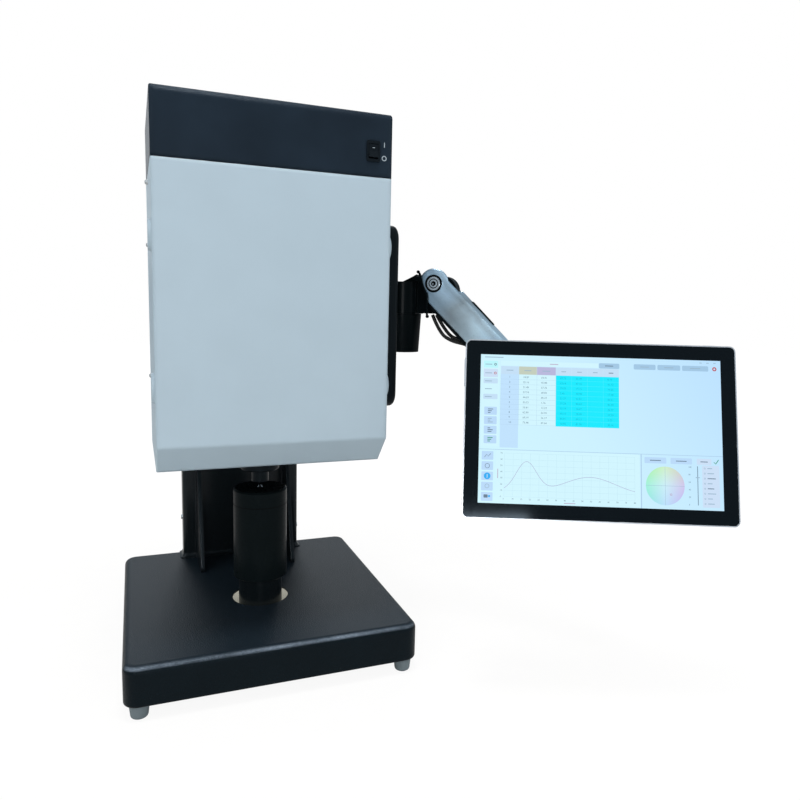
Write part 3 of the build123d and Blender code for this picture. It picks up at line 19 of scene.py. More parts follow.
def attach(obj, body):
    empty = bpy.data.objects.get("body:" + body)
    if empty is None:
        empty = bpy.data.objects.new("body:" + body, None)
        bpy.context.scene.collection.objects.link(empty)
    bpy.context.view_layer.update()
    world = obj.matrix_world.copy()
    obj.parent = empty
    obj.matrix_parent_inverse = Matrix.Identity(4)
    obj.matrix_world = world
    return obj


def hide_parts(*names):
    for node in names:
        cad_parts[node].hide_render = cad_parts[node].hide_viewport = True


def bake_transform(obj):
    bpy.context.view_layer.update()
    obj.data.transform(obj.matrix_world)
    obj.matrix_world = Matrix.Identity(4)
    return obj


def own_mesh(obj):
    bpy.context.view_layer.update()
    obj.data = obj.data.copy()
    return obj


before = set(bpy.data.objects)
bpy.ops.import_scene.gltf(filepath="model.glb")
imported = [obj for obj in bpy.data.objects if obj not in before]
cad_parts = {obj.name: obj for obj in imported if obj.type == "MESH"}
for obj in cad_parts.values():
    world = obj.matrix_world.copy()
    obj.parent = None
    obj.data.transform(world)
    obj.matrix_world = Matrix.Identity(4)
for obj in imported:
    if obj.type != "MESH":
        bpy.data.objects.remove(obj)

logging.basicConfig(level=logging.INFO, format="%(message)s")
LOG = logging.getLogger("colorimeter")

MM = 0.001
SMOOTH_ANGLE = radians(35)
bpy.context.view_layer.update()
RIGHT, BACK, UP = (Vector(axis) for axis in ((1, 0, 0), (0, 1, 0), (0, 0, 1)))

Colour = tuple[float, float, float]
Point = tuple[float, float, float]
Outline = list[tuple[float, float]]
Tones = tuple[tuple[float, Colour], ...]
Levels = tuple[tuple[float, float], ...]
Socket = bpy.types.NodeSocket
Ring = list[bmesh.types.BMVert]


class Body(Enum):
    """The moving bodies that pieces ride on."""

    STAND = "stand"
    PLUNGER = "plunger"
    ROCKER = "rocker"
    YOKE = "yoke"
    UPPER_ARM = "upper_arm"
    LOWER_ARM = "lower_arm"
    TABLET = "tablet"


class Grain(Enum):
    """How a surface's fine relief is laid out, with its stretch along each axis."""

    CAST = ("cast", (1.0, 1.0, 1.0))
    SPRAYED = ("sprayed", (1.0, 1.0, 1.0))
    MOULDED = ("moulded", (1.0, 1.0, 1.0))
    BRUSHED = ("brushed", (0.06, 1.0, 1.0))
    TURNED = ("turned", (0.15, 0.15, 1.0))


# ---------------------------------------------------------------------------- finishes
class Nodes:
    """A small helper that lays out the shader nodes of one material or world."""

    def __init__(self, holder: bpy.types.Material | bpy.types.World, output: str = "OutputMaterial") -> None:
        """Start an empty node tree.

        Args:
            holder: The material or world.
            output: The output node's kind.
        """
        holder.use_nodes = True
        self.tree = holder.node_tree
        self.tree.nodes.clear()
        self.output = self.add(output)

    def add(self, kind: str, *inputs: object, **values: object) -> bpy.types.Node:
        """Add a node, set its properties and fill its inputs.

        Args:
            kind: The node's type name without its prefix.
            *inputs: Sockets or values for its inputs, in order.
            **values: Property names, or input names with spaces written as underscores.

        Returns:
            The new node.
        """
        node = self.tree.nodes.new("ShaderNode" + kind)
        for key, value in values.items():
            if hasattr(node, key):
                setattr(node, key, value)
            else:
                self.fill(node.inputs[key.replace("_", " ")], value)
        for socket, value in zip(node.inputs, inputs):
            self.fill(socket, value)
        return node

    def fill(self, socket: Socket, value: object) -> None:
        """Link an input to a socket, or set it to a value."""
        if isinstance(value, bpy.types.NodeSocket):
            self.tree.links.new(value, socket)
        elif socket.type == "RGBA":
            socket.default_value = (*value, 1.0)
        else:
            socket.default_value = value

    def surface(self, node: bpy.types.Node) -> None:
        """Link a shader to the output."""
        self.fill(self.output.inputs["Surface"], node.outputs[0])

    def place(self, scale: Point = (1.0, 1.0, 1.0), turn: Point = (0.0, 0.0, 0.0)) -> Socket:
        """Give object coordinates, turned by Euler angles and stretched along each axis."""
        spot = self.add("TexCoord").outputs["Object"]
        return self.add("Mapping", Vector=spot, Rotation=turn, Scale=scale).outputs["Vector"]

    def noise(self, vector: Socket, scale: float, detail: float = 3.0) -> Socket:
        """Give a noise value with this many features per metre and octaves of detail."""
        return self.add("TexNoise", Vector=vector, Scale=scale, Detail=detail).outputs[0]

    def math(self, operation: str, *inputs: object) -> Socket:
        """Give the result of a sum on sockets or numbers."""
        return self.add("Math", *inputs, operation=operation).outputs[0]

    def mix(self, factor: object, first: object, second: object, blend: str = "MIX") -> Socket:
        """Give the mix of two colours, each a socket or a value."""
        node = self.add("Mix", data_type="RGBA", blend_type=blend, Factor=factor, A=first, B=second)
        return node.outputs["Result"]

    def spread(self, value: Socket, start: float, end: float, low: float = 0.0, high: float = 1.0,
               **how: object) -> Socket:
        """Map the values between start and end onto those from low to high."""
        node = self.add("MapRange", Value=value, From_Min=start, From_Max=end, To_Min=low, To_Max=high, **how)
        return node.outputs["Result"]

    def around(self, value: Socket, low: float, high: float) -> Socket:
        """Map the middle of a noise value onto a range."""
        return self.spread(value, 0.3, 0.7, low, high)

    def tint(self, factor: Socket, first: Colour, second: Colour) -> Socket:
        """Blend two colours over the middle of a noise value."""
        return self.bands(factor, ((0.3, first), (0.7, second)))

    def along(self, start: Point, way: Point, length: float) -> Socket:
        """Measure how far a point lies along a line, as a share of its length.

        Args:
            start: Where the line starts, in metres.
            way: The line's unit direction.
            length: The length that gives 1, in metres.

        Returns:
            The share's socket.
        """
        spot = self.add("TexCoord").outputs["Object"]
        shift = self.add("VectorMath", spot, start, operation="SUBTRACT").outputs[0]
        way = [value / length for value in way]
        return self.add("VectorMath", shift, way, operation="DOT_PRODUCT").outputs["Value"]

    def bands(self, value: Socket, tones: Tones) -> Socket:
        """Turn a value into a colour that passes through several tones.

        Args:
            value: The value read.
            tones: Place and colour of each tone, in order.

        Returns:
            The colour's socket.
        """
        node = self.add("ValToRGB", value)
        stops = node.color_ramp.elements
        while len(stops) < len(tones):
            stops.new(0.5)
        for i, (place, colour) in enumerate(tones):
            stops[i].position = place
            stops[i].color = (*colour, 1.0)
        return node.outputs["Color"]

    def greys(self, value: Socket, levels: Levels) -> Socket:
        """Turn a value into a grey that passes through several levels."""
        return self.bands(value, tuple((place, (level,) * 3) for place, level in levels))


class Surface:
    """Anything that can cover a piece."""

    name: str

    def material(self) -> bpy.types.Material:
        """Give the surface's material, which is made once and reused."""
        made = bpy.data.materials.get(self.name)
        if made is None:
            made = bpy.data.materials.new(self.name)
            self.lay(Nodes(made))
        return made

    def lay(self, nodes: Nodes) -> None:
        """Lay out the surface's nodes."""
        raise NotImplementedError


@dataclass(frozen=True)
class Finish(Surface):
    """A surface finish with colour variation, uneven gloss and fine relief.

    An upper colour is painted top light on the faces that look up, a painted edge highlight lightens the
    front upper edge in fine specks, a glow is painted light, and a soft edge is the radius that the light
    sees on each edge.
    """

    name: str
    colour: Colour
    roughness: float
    grain: Grain = Grain.MOULDED
    metallic: float = 0.0
    specular: float = 0.5
    coat: float = 0.0
    variation: float = 0.12
    relief: float = 0.1
    grain_scale: float = 900.0
    sheen: Colour = (1.0, 1.0, 1.0)
    soft_edge: float = 0.0
    # Strength of the painted highlight on the front upper edge.
    painted_edge_highlight: float = 0.0
    # The upper colour is painted top light on the faces that look up.
    upper: Colour | None = None
    glow: float = 0.0

    def shade(self, amount: float) -> Colour:
        """Give the colour made lighter or darker by a share."""
        return tuple(min(1.0, max(0.0, channel * (1.0 + amount))) for channel in self.colour)

    def paint_top_light_and_edge_highlight(self, nodes: Nodes, vector: Socket, colour: Socket) -> Socket:
        """Paint top light on upward faces and a speckled painted highlight on the front upper edge.

        Args:
            nodes: The node tree.
            vector: Where the specks are read.
            colour: The paint's colour.

        Returns:
            The colour with its painted top light and painted edge highlight.
        """
        normal = nodes.add("NewGeometry").outputs["Normal"]
        facing = nodes.add("SeparateXYZ", normal).outputs
        # Painted top light: faces that look up take the lighter upper colour.
        colour = nodes.mix(nodes.spread(facing["Z"], 0.6, 0.95), colour, self.upper)
        # Painted highlight in fine specks along the front upper edge.
        share = nodes.greys(facing["Z"], ((0.4, 0.0), (0.64, 1.0), (0.76, 1.0), (0.93, 0.0)))
        for part in (nodes.spread(facing["Y"], -0.1, -0.45),
                     nodes.around(nodes.noise(vector, 1500.0, 2.0), 0.0, 1.3),
                     nodes.around(nodes.noise(vector, 22.0, 2.0), 0.35, 1.0)):
            share = nodes.math("MULTIPLY", share, part)
        return nodes.mix(share, colour, tuple(self.painted_edge_highlight * tone for tone in (0.72, 0.9, 1.12)))

    def lay(self, nodes: Nodes) -> None:
        """Lay out the finish's nodes."""
        vector = nodes.place(self.grain.value[1])
        darker, lighter = self.shade(-self.variation), self.shade(self.variation)
        colour = nodes.tint(nodes.noise(vector, 18.0, 2.0), darker, lighter)
        if self.upper is not None:
            colour = self.paint_top_light_and_edge_highlight(nodes, vector, colour)
        fine = nodes.noise(vector, self.grain_scale, 4.0)
        height = fine
        if self.grain is Grain.CAST:
            height = nodes.add("TexVoronoi", Vector=vector, Scale=self.grain_scale * 0.7).outputs["Distance"]
        bump = nodes.add("Bump", Strength=self.relief, Distance=0.0006, Height=height)
        if self.soft_edge > 0:
            bevel = nodes.add("Bevel", samples=6, Radius=self.soft_edge)
            nodes.fill(bump.inputs["Normal"], bevel.outputs["Normal"])
        gloss = nodes.around(fine, self.roughness * 0.86, min(1.0, self.roughness * 1.14))
        normal = bump.outputs["Normal"]
        shader = nodes.add("BsdfPrincipled", Metallic=self.metallic, Specular_IOR_Level=self.specular,
                           Coat_Weight=self.coat, Coat_Roughness=0.12, Specular_Tint=self.sheen,
                           Base_Color=colour, Roughness=gloss, Normal=normal, Coat_Normal=normal)
        # Painted glow: the surface shines in its own colour though it is no lamp.
        if self.glow > 0:
            nodes.fill(shader.inputs["Emission Color"], self.colour)
            nodes.fill(shader.inputs["Emission Strength"], self.glow)
        nodes.surface(shader)


@dataclass(frozen=True)
class Sweep:
    """Tones that follow each other along a line."""

    start: Point
    way: Point
    length: float
    tones: Tones


@dataclass(frozen=True)
class Lit(Surface):
    """A lit area of the display, in one colour or in the mean of its first and last sweep."""

    name: str
    colour: Colour = (1.0, 1.0, 1.0)
    sweeps: tuple[Sweep, ...] = ()

    def lay(self, nodes: Nodes) -> None:
        """Lay out a glossy dark ground that shines in the area's colour."""
        if self.sweeps:
            colours = [nodes.bands(nodes.along(sweep.start, sweep.way, sweep.length), sweep.tones)
                       for sweep in self.sweeps]
            light = nodes.mix(0.5, colours[0], colours[-1])
        else:
            dim = tuple(channel * 0.985 for channel in self.colour)
            light = nodes.tint(nodes.noise(nodes.place(), 2600.0, 1.0), dim, self.colour)
        nodes.surface(nodes.add("BsdfPrincipled", Base_Color=(0.01, 0.01, 0.012), Roughness=0.12,
                                Specular_IOR_Level=0.2, Emission_Color=light, Emission_Strength=1.0))


COLD: Colour = (0.66, 0.84, 1.0)
# Cast base: painted top light on upward faces and a painted highlight on the front upper edge.
BLACK_CAST = Finish("black_cast_paint", (0.0019, 0.0052, 0.0076), 0.34, Grain.CAST, specular=0.08, coat=0.05,
                    relief=0.45, grain_scale=1300.0, sheen=COLD, painted_edge_highlight=0.32, upper=(0.0088, 0.015, 0.0214))
COLUMN_PAINT = Finish("black_column_paint", (0.0042, 0.0066, 0.008), 0.3, Grain.SPRAYED, specular=0.12,
                      coat=0.17, sheen=COLD, soft_edge=0.0026)
COVER_PAINT = Finish("pale_blue_grey_cover_paint", (0.43, 0.545, 0.63), 0.5, Grain.SPRAYED, specular=0.2,
                     variation=0.015, relief=0.05, grain_scale=1500.0, soft_edge=0.005)
BAND_PAINT = Finish("near_black_band_paint", (0.011, 0.019, 0.03), 0.4, Grain.SPRAYED, specular=0.12,
                    variation=0.16, relief=0.06, grain_scale=1500.0, sheen=COLD, soft_edge=0.007)
# The lining's glow is painted light that brightens it inside the shaded hole.
HOLE_LINING = Finish("pale_cream_lining_painted_glow", (0.88, 0.86, 0.74), 0.5, specular=0.2, variation=0.04, glow=0.27)
PORT_ANODISE = Finish("black_anodised_port", (0.004, 0.006, 0.0075), 0.38, Grain.TURNED, specular=0.12,
                      sheen=COLD)
PLUNGER_ANODISE = Finish("black_anodised_plunger", (0.0046, 0.0076, 0.0086), 0.3, Grain.TURNED,
                         specular=0.024, coat=0.022, relief=0.04, sheen=COLD)
BRIGHT_STEEL = Finish("bright_turned_steel", (0.6, 0.65, 0.69), 0.24, Grain.TURNED, metallic=1.0, relief=0.05)
SCREW_STEEL = Finish("plated_screw_steel", (0.42, 0.45, 0.47), 0.32, Grain.TURNED, metallic=1.0, relief=0.06)
FOOT_RUBBER = Finish("grey_foot_rubber", (0.15, 0.19, 0.21), 0.6, specular=0.25, relief=0.15)
BUSH_PLASTIC = Finish("bearing_plastic", (0.5, 0.49, 0.44), 0.45, Grain.TURNED, relief=0.05)
SPHERE_COAT = Finish("white_sphere_coating", (0.84, 0.84, 0.82), 0.8, Grain.SPRAYED, variation=0.01)
FRAME_ALLOY = Finish("mill_frame_alloy", (0.6, 0.61, 0.62), 0.4, Grain.BRUSHED, metallic=1.0)
MODULE_PLASTIC = Finish("module_black_plastic", (0.02, 0.02, 0.022), 0.5)
BOARD_GREEN = Finish("circuit_board_green", (0.01, 0.09, 0.035), 0.4, grain_scale=300.0)
SOCKET_PLASTIC = Finish("socket_black_plastic", (0.006, 0.008, 0.009), 0.42, specular=0.2, relief=0.05)
SWITCH_PLASTIC = Finish("switch_gloss_plastic", (0.003, 0.004, 0.005), 0.2, specular=0.3, relief=0.02,
                        sheen=COLD)
ARM_PLASTIC = Finish("arm_black_plastic", (0.0016, 0.003, 0.0035), 0.4, specular=0.03, coat=0.03, relief=0.06,
                     sheen=COLD, soft_edge=0.001)
LINK_PLASTIC = Finish("link_satin_plastic", (0.0022, 0.0036, 0.0042), 0.32, specular=0.09, relief=0.08,
                      sheen=COLD)
PLATE_COAT = Finish("wall_plate_coat", (0.0032, 0.0048, 0.0058), 0.42, Grain.SPRAYED, specular=0.1,
                    relief=0.14, sheen=COLD)
CABLE_JACKET = Finish("cable_jacket", (0.0024, 0.0034, 0.004), 0.5, specular=0.06, relief=0.06, sheen=COLD)
TABLET_ALLOY = Finish("tablet_alloy", (0.27, 0.3, 0.33), 0.34, Grain.SPRAYED, metallic=1.0, relief=0.08,
                      grain_scale=2200.0)
GLASS_BLACK = Finish("display_glass", (0.0022, 0.0036, 0.0048), 0.08, specular=0.2, relief=0.0,
                     variation=0.05, sheen=COLD)
# Grey-white for the printed switch marks and for the painted highlight on the rocker.
MARK_AND_GLINT_WHITE = Finish("printed_mark_and_painted_glint", (0.42, 0.5, 0.56), 0.5, variation=0.03, relief=0.02)
SHADOW_GAP = Finish("dark_recess", (0.002, 0.0025, 0.003), 0.7, specular=0.05)

PALE = Lit("page_pale", (0.55, 0.74, 0.92))
CELL = Lit("page_cell", (0.64, 0.91, 0.99))
PALE_KEY = Lit("page_key", (0.49, 0.7, 0.94))
FIRST_COLUMN = Lit("page_first_column", (0.53, 0.76, 0.98))
STEEL = Lit("page_steel", (0.36, 0.57, 0.77))
RULE = Lit("page_rule", (0.4, 0.58, 0.78))
GRID = Lit("page_grid", (0.5, 0.75, 0.86))
INK = Lit("page_ink", (0.13, 0.2, 0.28))
FAINT = Lit("page_faint_ink", (0.32, 0.47, 0.6))
CYAN = Lit("page_cyan", (0.0, 0.82, 1.0))
CYAN_LINE = Lit("page_cyan_line", (0.1, 0.88, 1.0))
CYAN_INK = Lit("page_cyan_ink", (0.0, 0.46, 0.6))
TAN = Lit("page_tan", (0.55, 0.61, 0.5))
LILAC = Lit("page_lilac", (0.48, 0.47, 0.71))
MINT = Lit("page_mint", (0.5, 0.92, 0.97))
ROSE = Lit("page_rose", (0.6, 0.74, 0.92))
ROSE_INK = Lit("page_rose_ink", (0.5, 0.42, 0.58))
VIOLET = Lit("page_violet", (0.4, 0.4, 0.62))
BLUE = Lit("page_blue", (0.03, 0.42, 0.9))
RED = Lit("page_red", (0.5, 0.1, 0.12))
GREEN = Lit("page_green", (0.05, 0.33, 0.2))


@dataclass(frozen=True)
class PolishedArmWithPaintedReflections(Surface):
    """Polished aluminium with painted reflections: its tone rolls softly along the arm and across it."""

    name: str = "polished_arm_alloy_painted_reflections"
    pivot: Point = (0.2045, -0.0619, 0.2471)
    along: Point = (0.5543, -0.4489, -0.7009)
    length: float = 0.23
    turn: Point = (0.0, radians(-44.5), radians(39.0))
    upward: Point = (0.5447, -0.4411, 0.7132)
    half_height: float = 0.02
    # Painted reflections: bright and dark patches along the arm.
    tones: Tones = (
        (0.0, (0.52, 0.7, 0.85)), (0.1, (0.45, 0.6, 0.72)), (0.2, (0.38, 0.46, 0.51)),
        (0.32, (0.68, 0.88, 1.0)), (0.5, (0.62, 0.85, 1.0)), (0.75, (0.45, 0.66, 0.82)),
        (1.0, (0.38, 0.56, 0.7)))
    # Painted highlight and shade across the arm, brightest near its top edge.
    sweep: Levels = (
        (0.0, 0.74), (0.22, 0.66), (0.42, 0.86), (0.6, 0.98), (0.75, 0.76), (0.9, 1.0), (1.0, 0.94))

    def drift(self, nodes: Nodes, value: Socket, stretch: float, scale: float, amount: float) -> Socket:
        """Shift a value to and fro by an amount in all, in streaks along the arm."""
        streaks = nodes.noise(nodes.place((stretch, 1.0, 1.0), self.turn), scale, 2.0)
        return nodes.math("SUBTRACT", nodes.math("MULTIPLY_ADD", streaks, amount, value), amount / 2)

    def lay(self, nodes: Nodes) -> None:
        """Lay out the alloy's nodes."""
        foot = tuple(start - way * self.half_height for start, way in zip(self.pivot, self.upward))
        reach = self.drift(nodes, nodes.along(self.pivot, self.along, self.length), 0.35, 38.0, 0.16)
        rise = self.drift(nodes, nodes.along(foot, self.upward, 2 * self.half_height), 0.25, 60.0, 0.3)
        # The alloy's colour carries painted reflections along and across the arm.
        colour = nodes.mix(1.0, nodes.bands(reach, self.tones), nodes.greys(rise, self.sweep), "MULTIPLY")
        fine = nodes.noise(nodes.place((0.05, 1.0, 1.0), self.turn), 1500.0, 3.0)
        bevel = nodes.add("Bevel", samples=6, Radius=0.0025).outputs["Normal"]
        bump = nodes.add("Bump", Strength=0.06, Distance=0.0004, Height=fine, Normal=bevel)
        gloss = nodes.around(fine, 0.26, 0.36)
        nodes.surface(nodes.add("BsdfPrincipled", Base_Color=colour, Metallic=1.0, Roughness=gloss,
                                Normal=bump.outputs["Normal"]))


ARM_ALLOY = PolishedArmWithPaintedReflections()


# ---------------------------------------------------------------------------- mesh making
def axes_matrix(right: Vector, up: Vector, out: Vector, place: Vector) -> Matrix:
    """Give the matrix that puts a plane's X, Y, Z and origin, in metres, in their place."""
    columns = (right, up, out, place)
    return Matrix([[column[row] for column in columns] for row in range(3)] + [[0, 0, 0, 1]])


def circle(x: float, y: float, radius: float, sides: int) -> Outline:
    """Outline a circle."""
    turns = [2 * pi * i / sides for i in range(sides)]
    return [(x + radius * cos(turn), y + radius * sin(turn)) for turn in turns]


def rounded(x: float, y: float, width: float, height: float, radius: float, steps: int = 5) -> Outline:
    """Outline a rectangle from its lower left corner, with round corners.

    Args:
        x: Left edge.
        y: Lower edge.
        width: Width.
        height: Height.
        radius: Corner radius; 0 leaves them square.
        steps: Points in each round corner.

    Returns:
        The corners, anticlockwise.
    """
    if radius <= 0:
        return [(x, y), (x + width, y), (x + width, y + height), (x, y + height)]
    left, right, low, high = x + radius, x + width - radius, y + radius, y + height - radius
    outline = []
    for cx, cy, start in ((right, low, -90), (right, high, 0), (left, high, 90), (left, low, 180)):
        for i in range(steps + 1):
            angle = radians(start + 90 * i / steps)
            outline.append((cx + radius * cos(angle), cy + radius * sin(angle)))
    return outline


class Sheet:
    """Collects faces in a plane's own millimetres and turns them into one mesh object."""

    def __init__(self, name: str, origin: Point | Vector, right: Vector = RIGHT, up: Vector = BACK) -> None:
        """Start a mesh drawn in a plane, which is level unless it is told otherwise.

        Args:
            name: The object's name.
            origin: The plane's origin, in millimetres.
            right: Unit vector along the plane's X.
            up: Unit vector along the plane's Y.
        """
        self.name = name
        self.mesh = bmesh.new()
        self.matrix = axes_matrix(right, up, right.cross(up), Vector(origin) * MM)

    def point(self, x: float, y: float, z: float) -> bmesh.types.BMVert:
        """Add a vertex at millimetres in the plane's axes."""
        return self.mesh.verts.new(self.matrix @ Vector((x * MM, y * MM, z * MM)))

    def ring(self, outline: Outline, height: float) -> Ring:
        """Add an outline's vertices at one height."""
        return [self.point(x, y, height) for x, y in outline]

    def skin(self, rings: list[Ring], closed: bool = False) -> None:
        """Join rings of equal length into a surface.

        Args:
            rings: The rings in order.
            closed: Whether the last ring joins the first.
        """
        for first, second in zip(rings, rings[1:] + rings[:closed]):
            for i in range(len(first)):
                self.mesh.faces.new((first[i - 1], first[i], second[i], second[i - 1]))

    def tube(self, rings: list[Ring]) -> None:
        """Join rings into a surface and close its two ends."""
        self.skin(rings)
        self.mesh.faces.new(rings[0])
        self.mesh.faces.new(rings[-1][::-1])

    def slab(self, outline: Outline, low: float, high: float) -> None:
        """Add a closed prism with this outline from one height to another."""
        self.tube([self.ring(outline, high), self.ring(outline, low)])

    def card(self, x: float, y: float, width: float, height: float, low: float, high: float,
             radius: float = 0.0) -> None:
        """Add a rectangle from its lower left corner, with round corners if asked."""
        self.slab(rounded(x, y, width, height, radius), low, high)

    def disc(self, x: float, y: float, radius: float, low: float, high: float, sides: int = 24) -> None:
        """Add a round disc."""
        self.slab(circle(x, y, radius, sides), low, high)

    def hoop(self, x: float, y: float, outer: float, inner: float, low: float, high: float,
             sides: int = 32) -> None:
        """Add a flat ring."""
        corners = ((outer, low), (outer, high), (inner, high), (inner, low))
        self.skin([self.ring(circle(x, y, radius, sides), height) for radius, height in corners], closed=True)

    def lathe(self, profile: Outline, x: float = 0.0, y: float = 0.0, sides: int = 40) -> None:
        """Add a turned form about the plane's Z.

        Args:
            profile: Radius and height pairs, which start and end on the axis or form a closed loop.
            x: Axis position along X.
            y: Axis position along Y.
            sides: Facets round the axis.
        """
        rings = [self.ring(circle(x, y, radius, sides), height) for radius, height in profile if radius > 0]
        tips = [self.point(x, y, height) for radius, height in profile if radius <= 0]
        self.skin(rings, closed=not tips)
        for tip, edge in zip(tips, (rings[0], rings[-1])):
            for i in range(sides):
                self.mesh.faces.new((edge[i - 1], edge[i], tip))

    def ribbon(self, points: Outline, width: float, low: float, high: float) -> None:
        """Add a line of even width through points.

        Args:
            points: The line's points.
            width: The line's width.
            low: Back height.
            high: Front height.
        """
        left, right = [], []
        for i, (x, y) in enumerate(points):
            x0, y0 = points[max(0, i - 1)]
            x1, y1 = points[min(len(points) - 1, i + 1)]
            length = hypot(x1 - x0, y1 - y0)
            nx, ny = -(y1 - y0) / length * width / 2, (x1 - x0) / length * width / 2
            left.append((x + nx, y + ny))
            right.append((x - nx, y - ny))
        for i in range(len(points) - 1):
            self.slab([left[i], right[i], right[i + 1], left[i + 1]], low, high)

    def data(self) -> bpy.types.Mesh:
        """Turn the faces into mesh data."""
        bmesh.ops.recalc_face_normals(self.mesh, faces=self.mesh.faces)
        data = bpy.data.meshes.new(self.name)
        self.mesh.to_mesh(data)
        self.mesh.free()
        return data

    def finish(self, finish: Surface, body: Body, slot: str, smooth: bool = True) -> bpy.types.Object:
        """Make the object, dress it and let it ride; smooth is as in place_piece, and slot is not used."""
        return place_piece(self.name, self.data(), finish, body, smooth)


def put(name: str, data: bpy.types.ID) -> bpy.types.Object:
    """Put an object with this data in the scene."""
    made = bpy.data.objects.new(name, data)
    bpy.context.scene.collection.objects.link(made)
    return made


def place_piece(name: str, data: bpy.types.Mesh, finish: Surface, body: Body,
                smooth: bool = True) -> bpy.types.Object:
    """Put a piece in the scene with its finish and body.

    Args:
        name: The piece's name.
        data: Its mesh.
        finish: Its surface finish.
        body: The body that it rides on.
        smooth: Whether its faces are shaded smooth where they meet at a low angle.

    Returns:
        The new object.
    """
    piece = put(name, data)
    data.materials.append(finish.material())
    if smooth:
        data.shade_smooth()
        data.set_sharp_from_angle(angle=SMOOTH_ANGLE)
    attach(piece, body.value)
    LOG.info("%s rides on %s", name, body.value)
    return piece


def meshed(data: bpy.types.Curve) -> bpy.types.Mesh:
    """Turn a curve's or a text's data into mesh data."""
    carrier = put(data.name + "_carrier", data)
    bpy.context.view_layer.update()
    mesh = bpy.data.meshes.new_from_object(carrier)
    bpy.data.objects.remove(carrier)
    return mesh


def dress(finish: Surface, *nodes: str) -> None:
    """Give carried-over nodes their finish.

    Args:
        finish: The surface finish.
        *nodes: The nodes' names.
    """
    for name in nodes:
        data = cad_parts[name].data
        data.materials.clear()
        data.materials.append(finish.material())
        LOG.info("%s is dressed in %s", name, finish.name)


# ---------------------------------------------------------------------------- sub-assemblies
@dataclass
class Stand:
    """The cast base, its feet and the column."""

    bench: float = -207.2
    foot_x: float = 144.5
    foot_front: float = -129.5
    foot_back: float = 182.5
    foot_radius: float = 10.4
    foot_height: float = 15.2
    foot_taper: float = radians(6.0)
    foot_edge: float = 3.2
    bore_radius: float = 2.6
    hole_radius: float = 33.95
    hole_top: float = -149.6
    hole_depth: float = 21.0

    def build(self) -> None:
        """Build and dress the stand."""
        dress(BLACK_CAST, "base_casting")
        dress(COLUMN_PAINT, "column_casting", "head_bracket", "guide_post")
        dress(SCREW_STEEL, "foot_screws", "column_bolts", "post_screws", "bracket_bolts",
              "column_side_screws")
        self.feet()
        self.lining()

    def feet(self) -> None:
        """Build the four moulded feet, each with a round lower edge and a bore for its screw."""
        height, edge = self.foot_height, self.foot_edge
        inset = self.foot_radius - height * tan(self.foot_taper) + 0.2 - edge
        profile = [(self.bore_radius, 6.0), (5.0, 6.0), (5.0, 0.4), (5.3, 0.0)]
        for i in range(7):
            angle = radians(-90 + 84 * i / 6)
            profile.append((inset + edge * cos(angle), edge + edge * sin(angle)))
        profile += [(self.foot_radius - 0.15, height - 0.9), (self.foot_radius - 0.5, height),
                    (self.bore_radius, height)]
        for end, y in (("front", self.foot_front), ("rear", self.foot_back)):
            for side, x in (("left", -self.foot_x), ("right", self.foot_x)):
                name = f"foot_{end}_{side}"
                sheet = Sheet(name + "_moulding", (x, y, self.bench))
                sheet.lathe(profile)
                foot = sheet.finish(FOOT_RUBBER, Body.STAND, "foot_rubber")
                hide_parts(name)

    def lining(self) -> None:
        """Build the pale ring that lines the hole round the plunger's post, with a faint painted glow."""
        sheet = Sheet("hole_lining", (0, 0, self.hole_top))
        sheet.hoop(0, 0, self.hole_radius, self.hole_radius - 0.7, -self.hole_depth, 0.0, 64)
        sheet.finish(HOLE_LINING, Body.STAND, "bush_plastic")


@dataclass
class Plunger:
    """The sprung specimen plunger on its guide post."""

    spring_floor: float = -172.0
    spring_ceiling: float = -15.6
    spring_end: float = 1.9
    coil_radius: float = 16.0
    wire_radius: float = 1.5
    turns: int = 8
    steps: int = 30
    stroke: float = 50.0
    radius: float = 32.5
    seam_height: float = -27.1

    def build(self) -> None:
        """Dress the plunger's pieces and wind its spring."""
        dress(PLUNGER_ANODISE, "plunger_sleeve", "plunger_cap")
        dress(BRIGHT_STEEL, "centre_pin")
        dress(BUSH_PLASTIC, "plunger_bush", "stop_ring")
        self.spring()
        self.seam()

    def seam(self) -> None:
        """Lay the dark line of painted shade in the seam between cap and sleeve."""
        sheet = Sheet("cap_seam_line", (0, 0, self.seam_height))
        sheet.hoop(0, 0, self.radius + 0.06, self.radius - 0.3, -0.45, 0.45, 64)
        sheet.finish(SHADOW_GAP, Body.PLUNGER, "plunger_anodise")

    def spring(self) -> None:
        """Wind the plunger's spring."""
        sheet = Sheet("press_coil", (0, 0, self.spring_floor))
        span = self.spring_ceiling - self.spring_floor
        rise = span - 2 * self.spring_end
        rings = []
        for i in range(self.turns * self.steps + 1):
            angle = 2 * pi * i / self.steps
            height = self.spring_end + rise * i / (self.turns * self.steps)
            rings.append([sheet.point(reach * cos(angle), reach * sin(angle), height + lift)
                          for reach, lift in circle(self.coil_radius, 0.0, self.wire_radius, 10)])
        sheet.tube(rings)
        coil = sheet.finish(BRIGHT_STEEL, Body.STAND, "bright_steel")
        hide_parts("press_spring")
        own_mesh(coil)


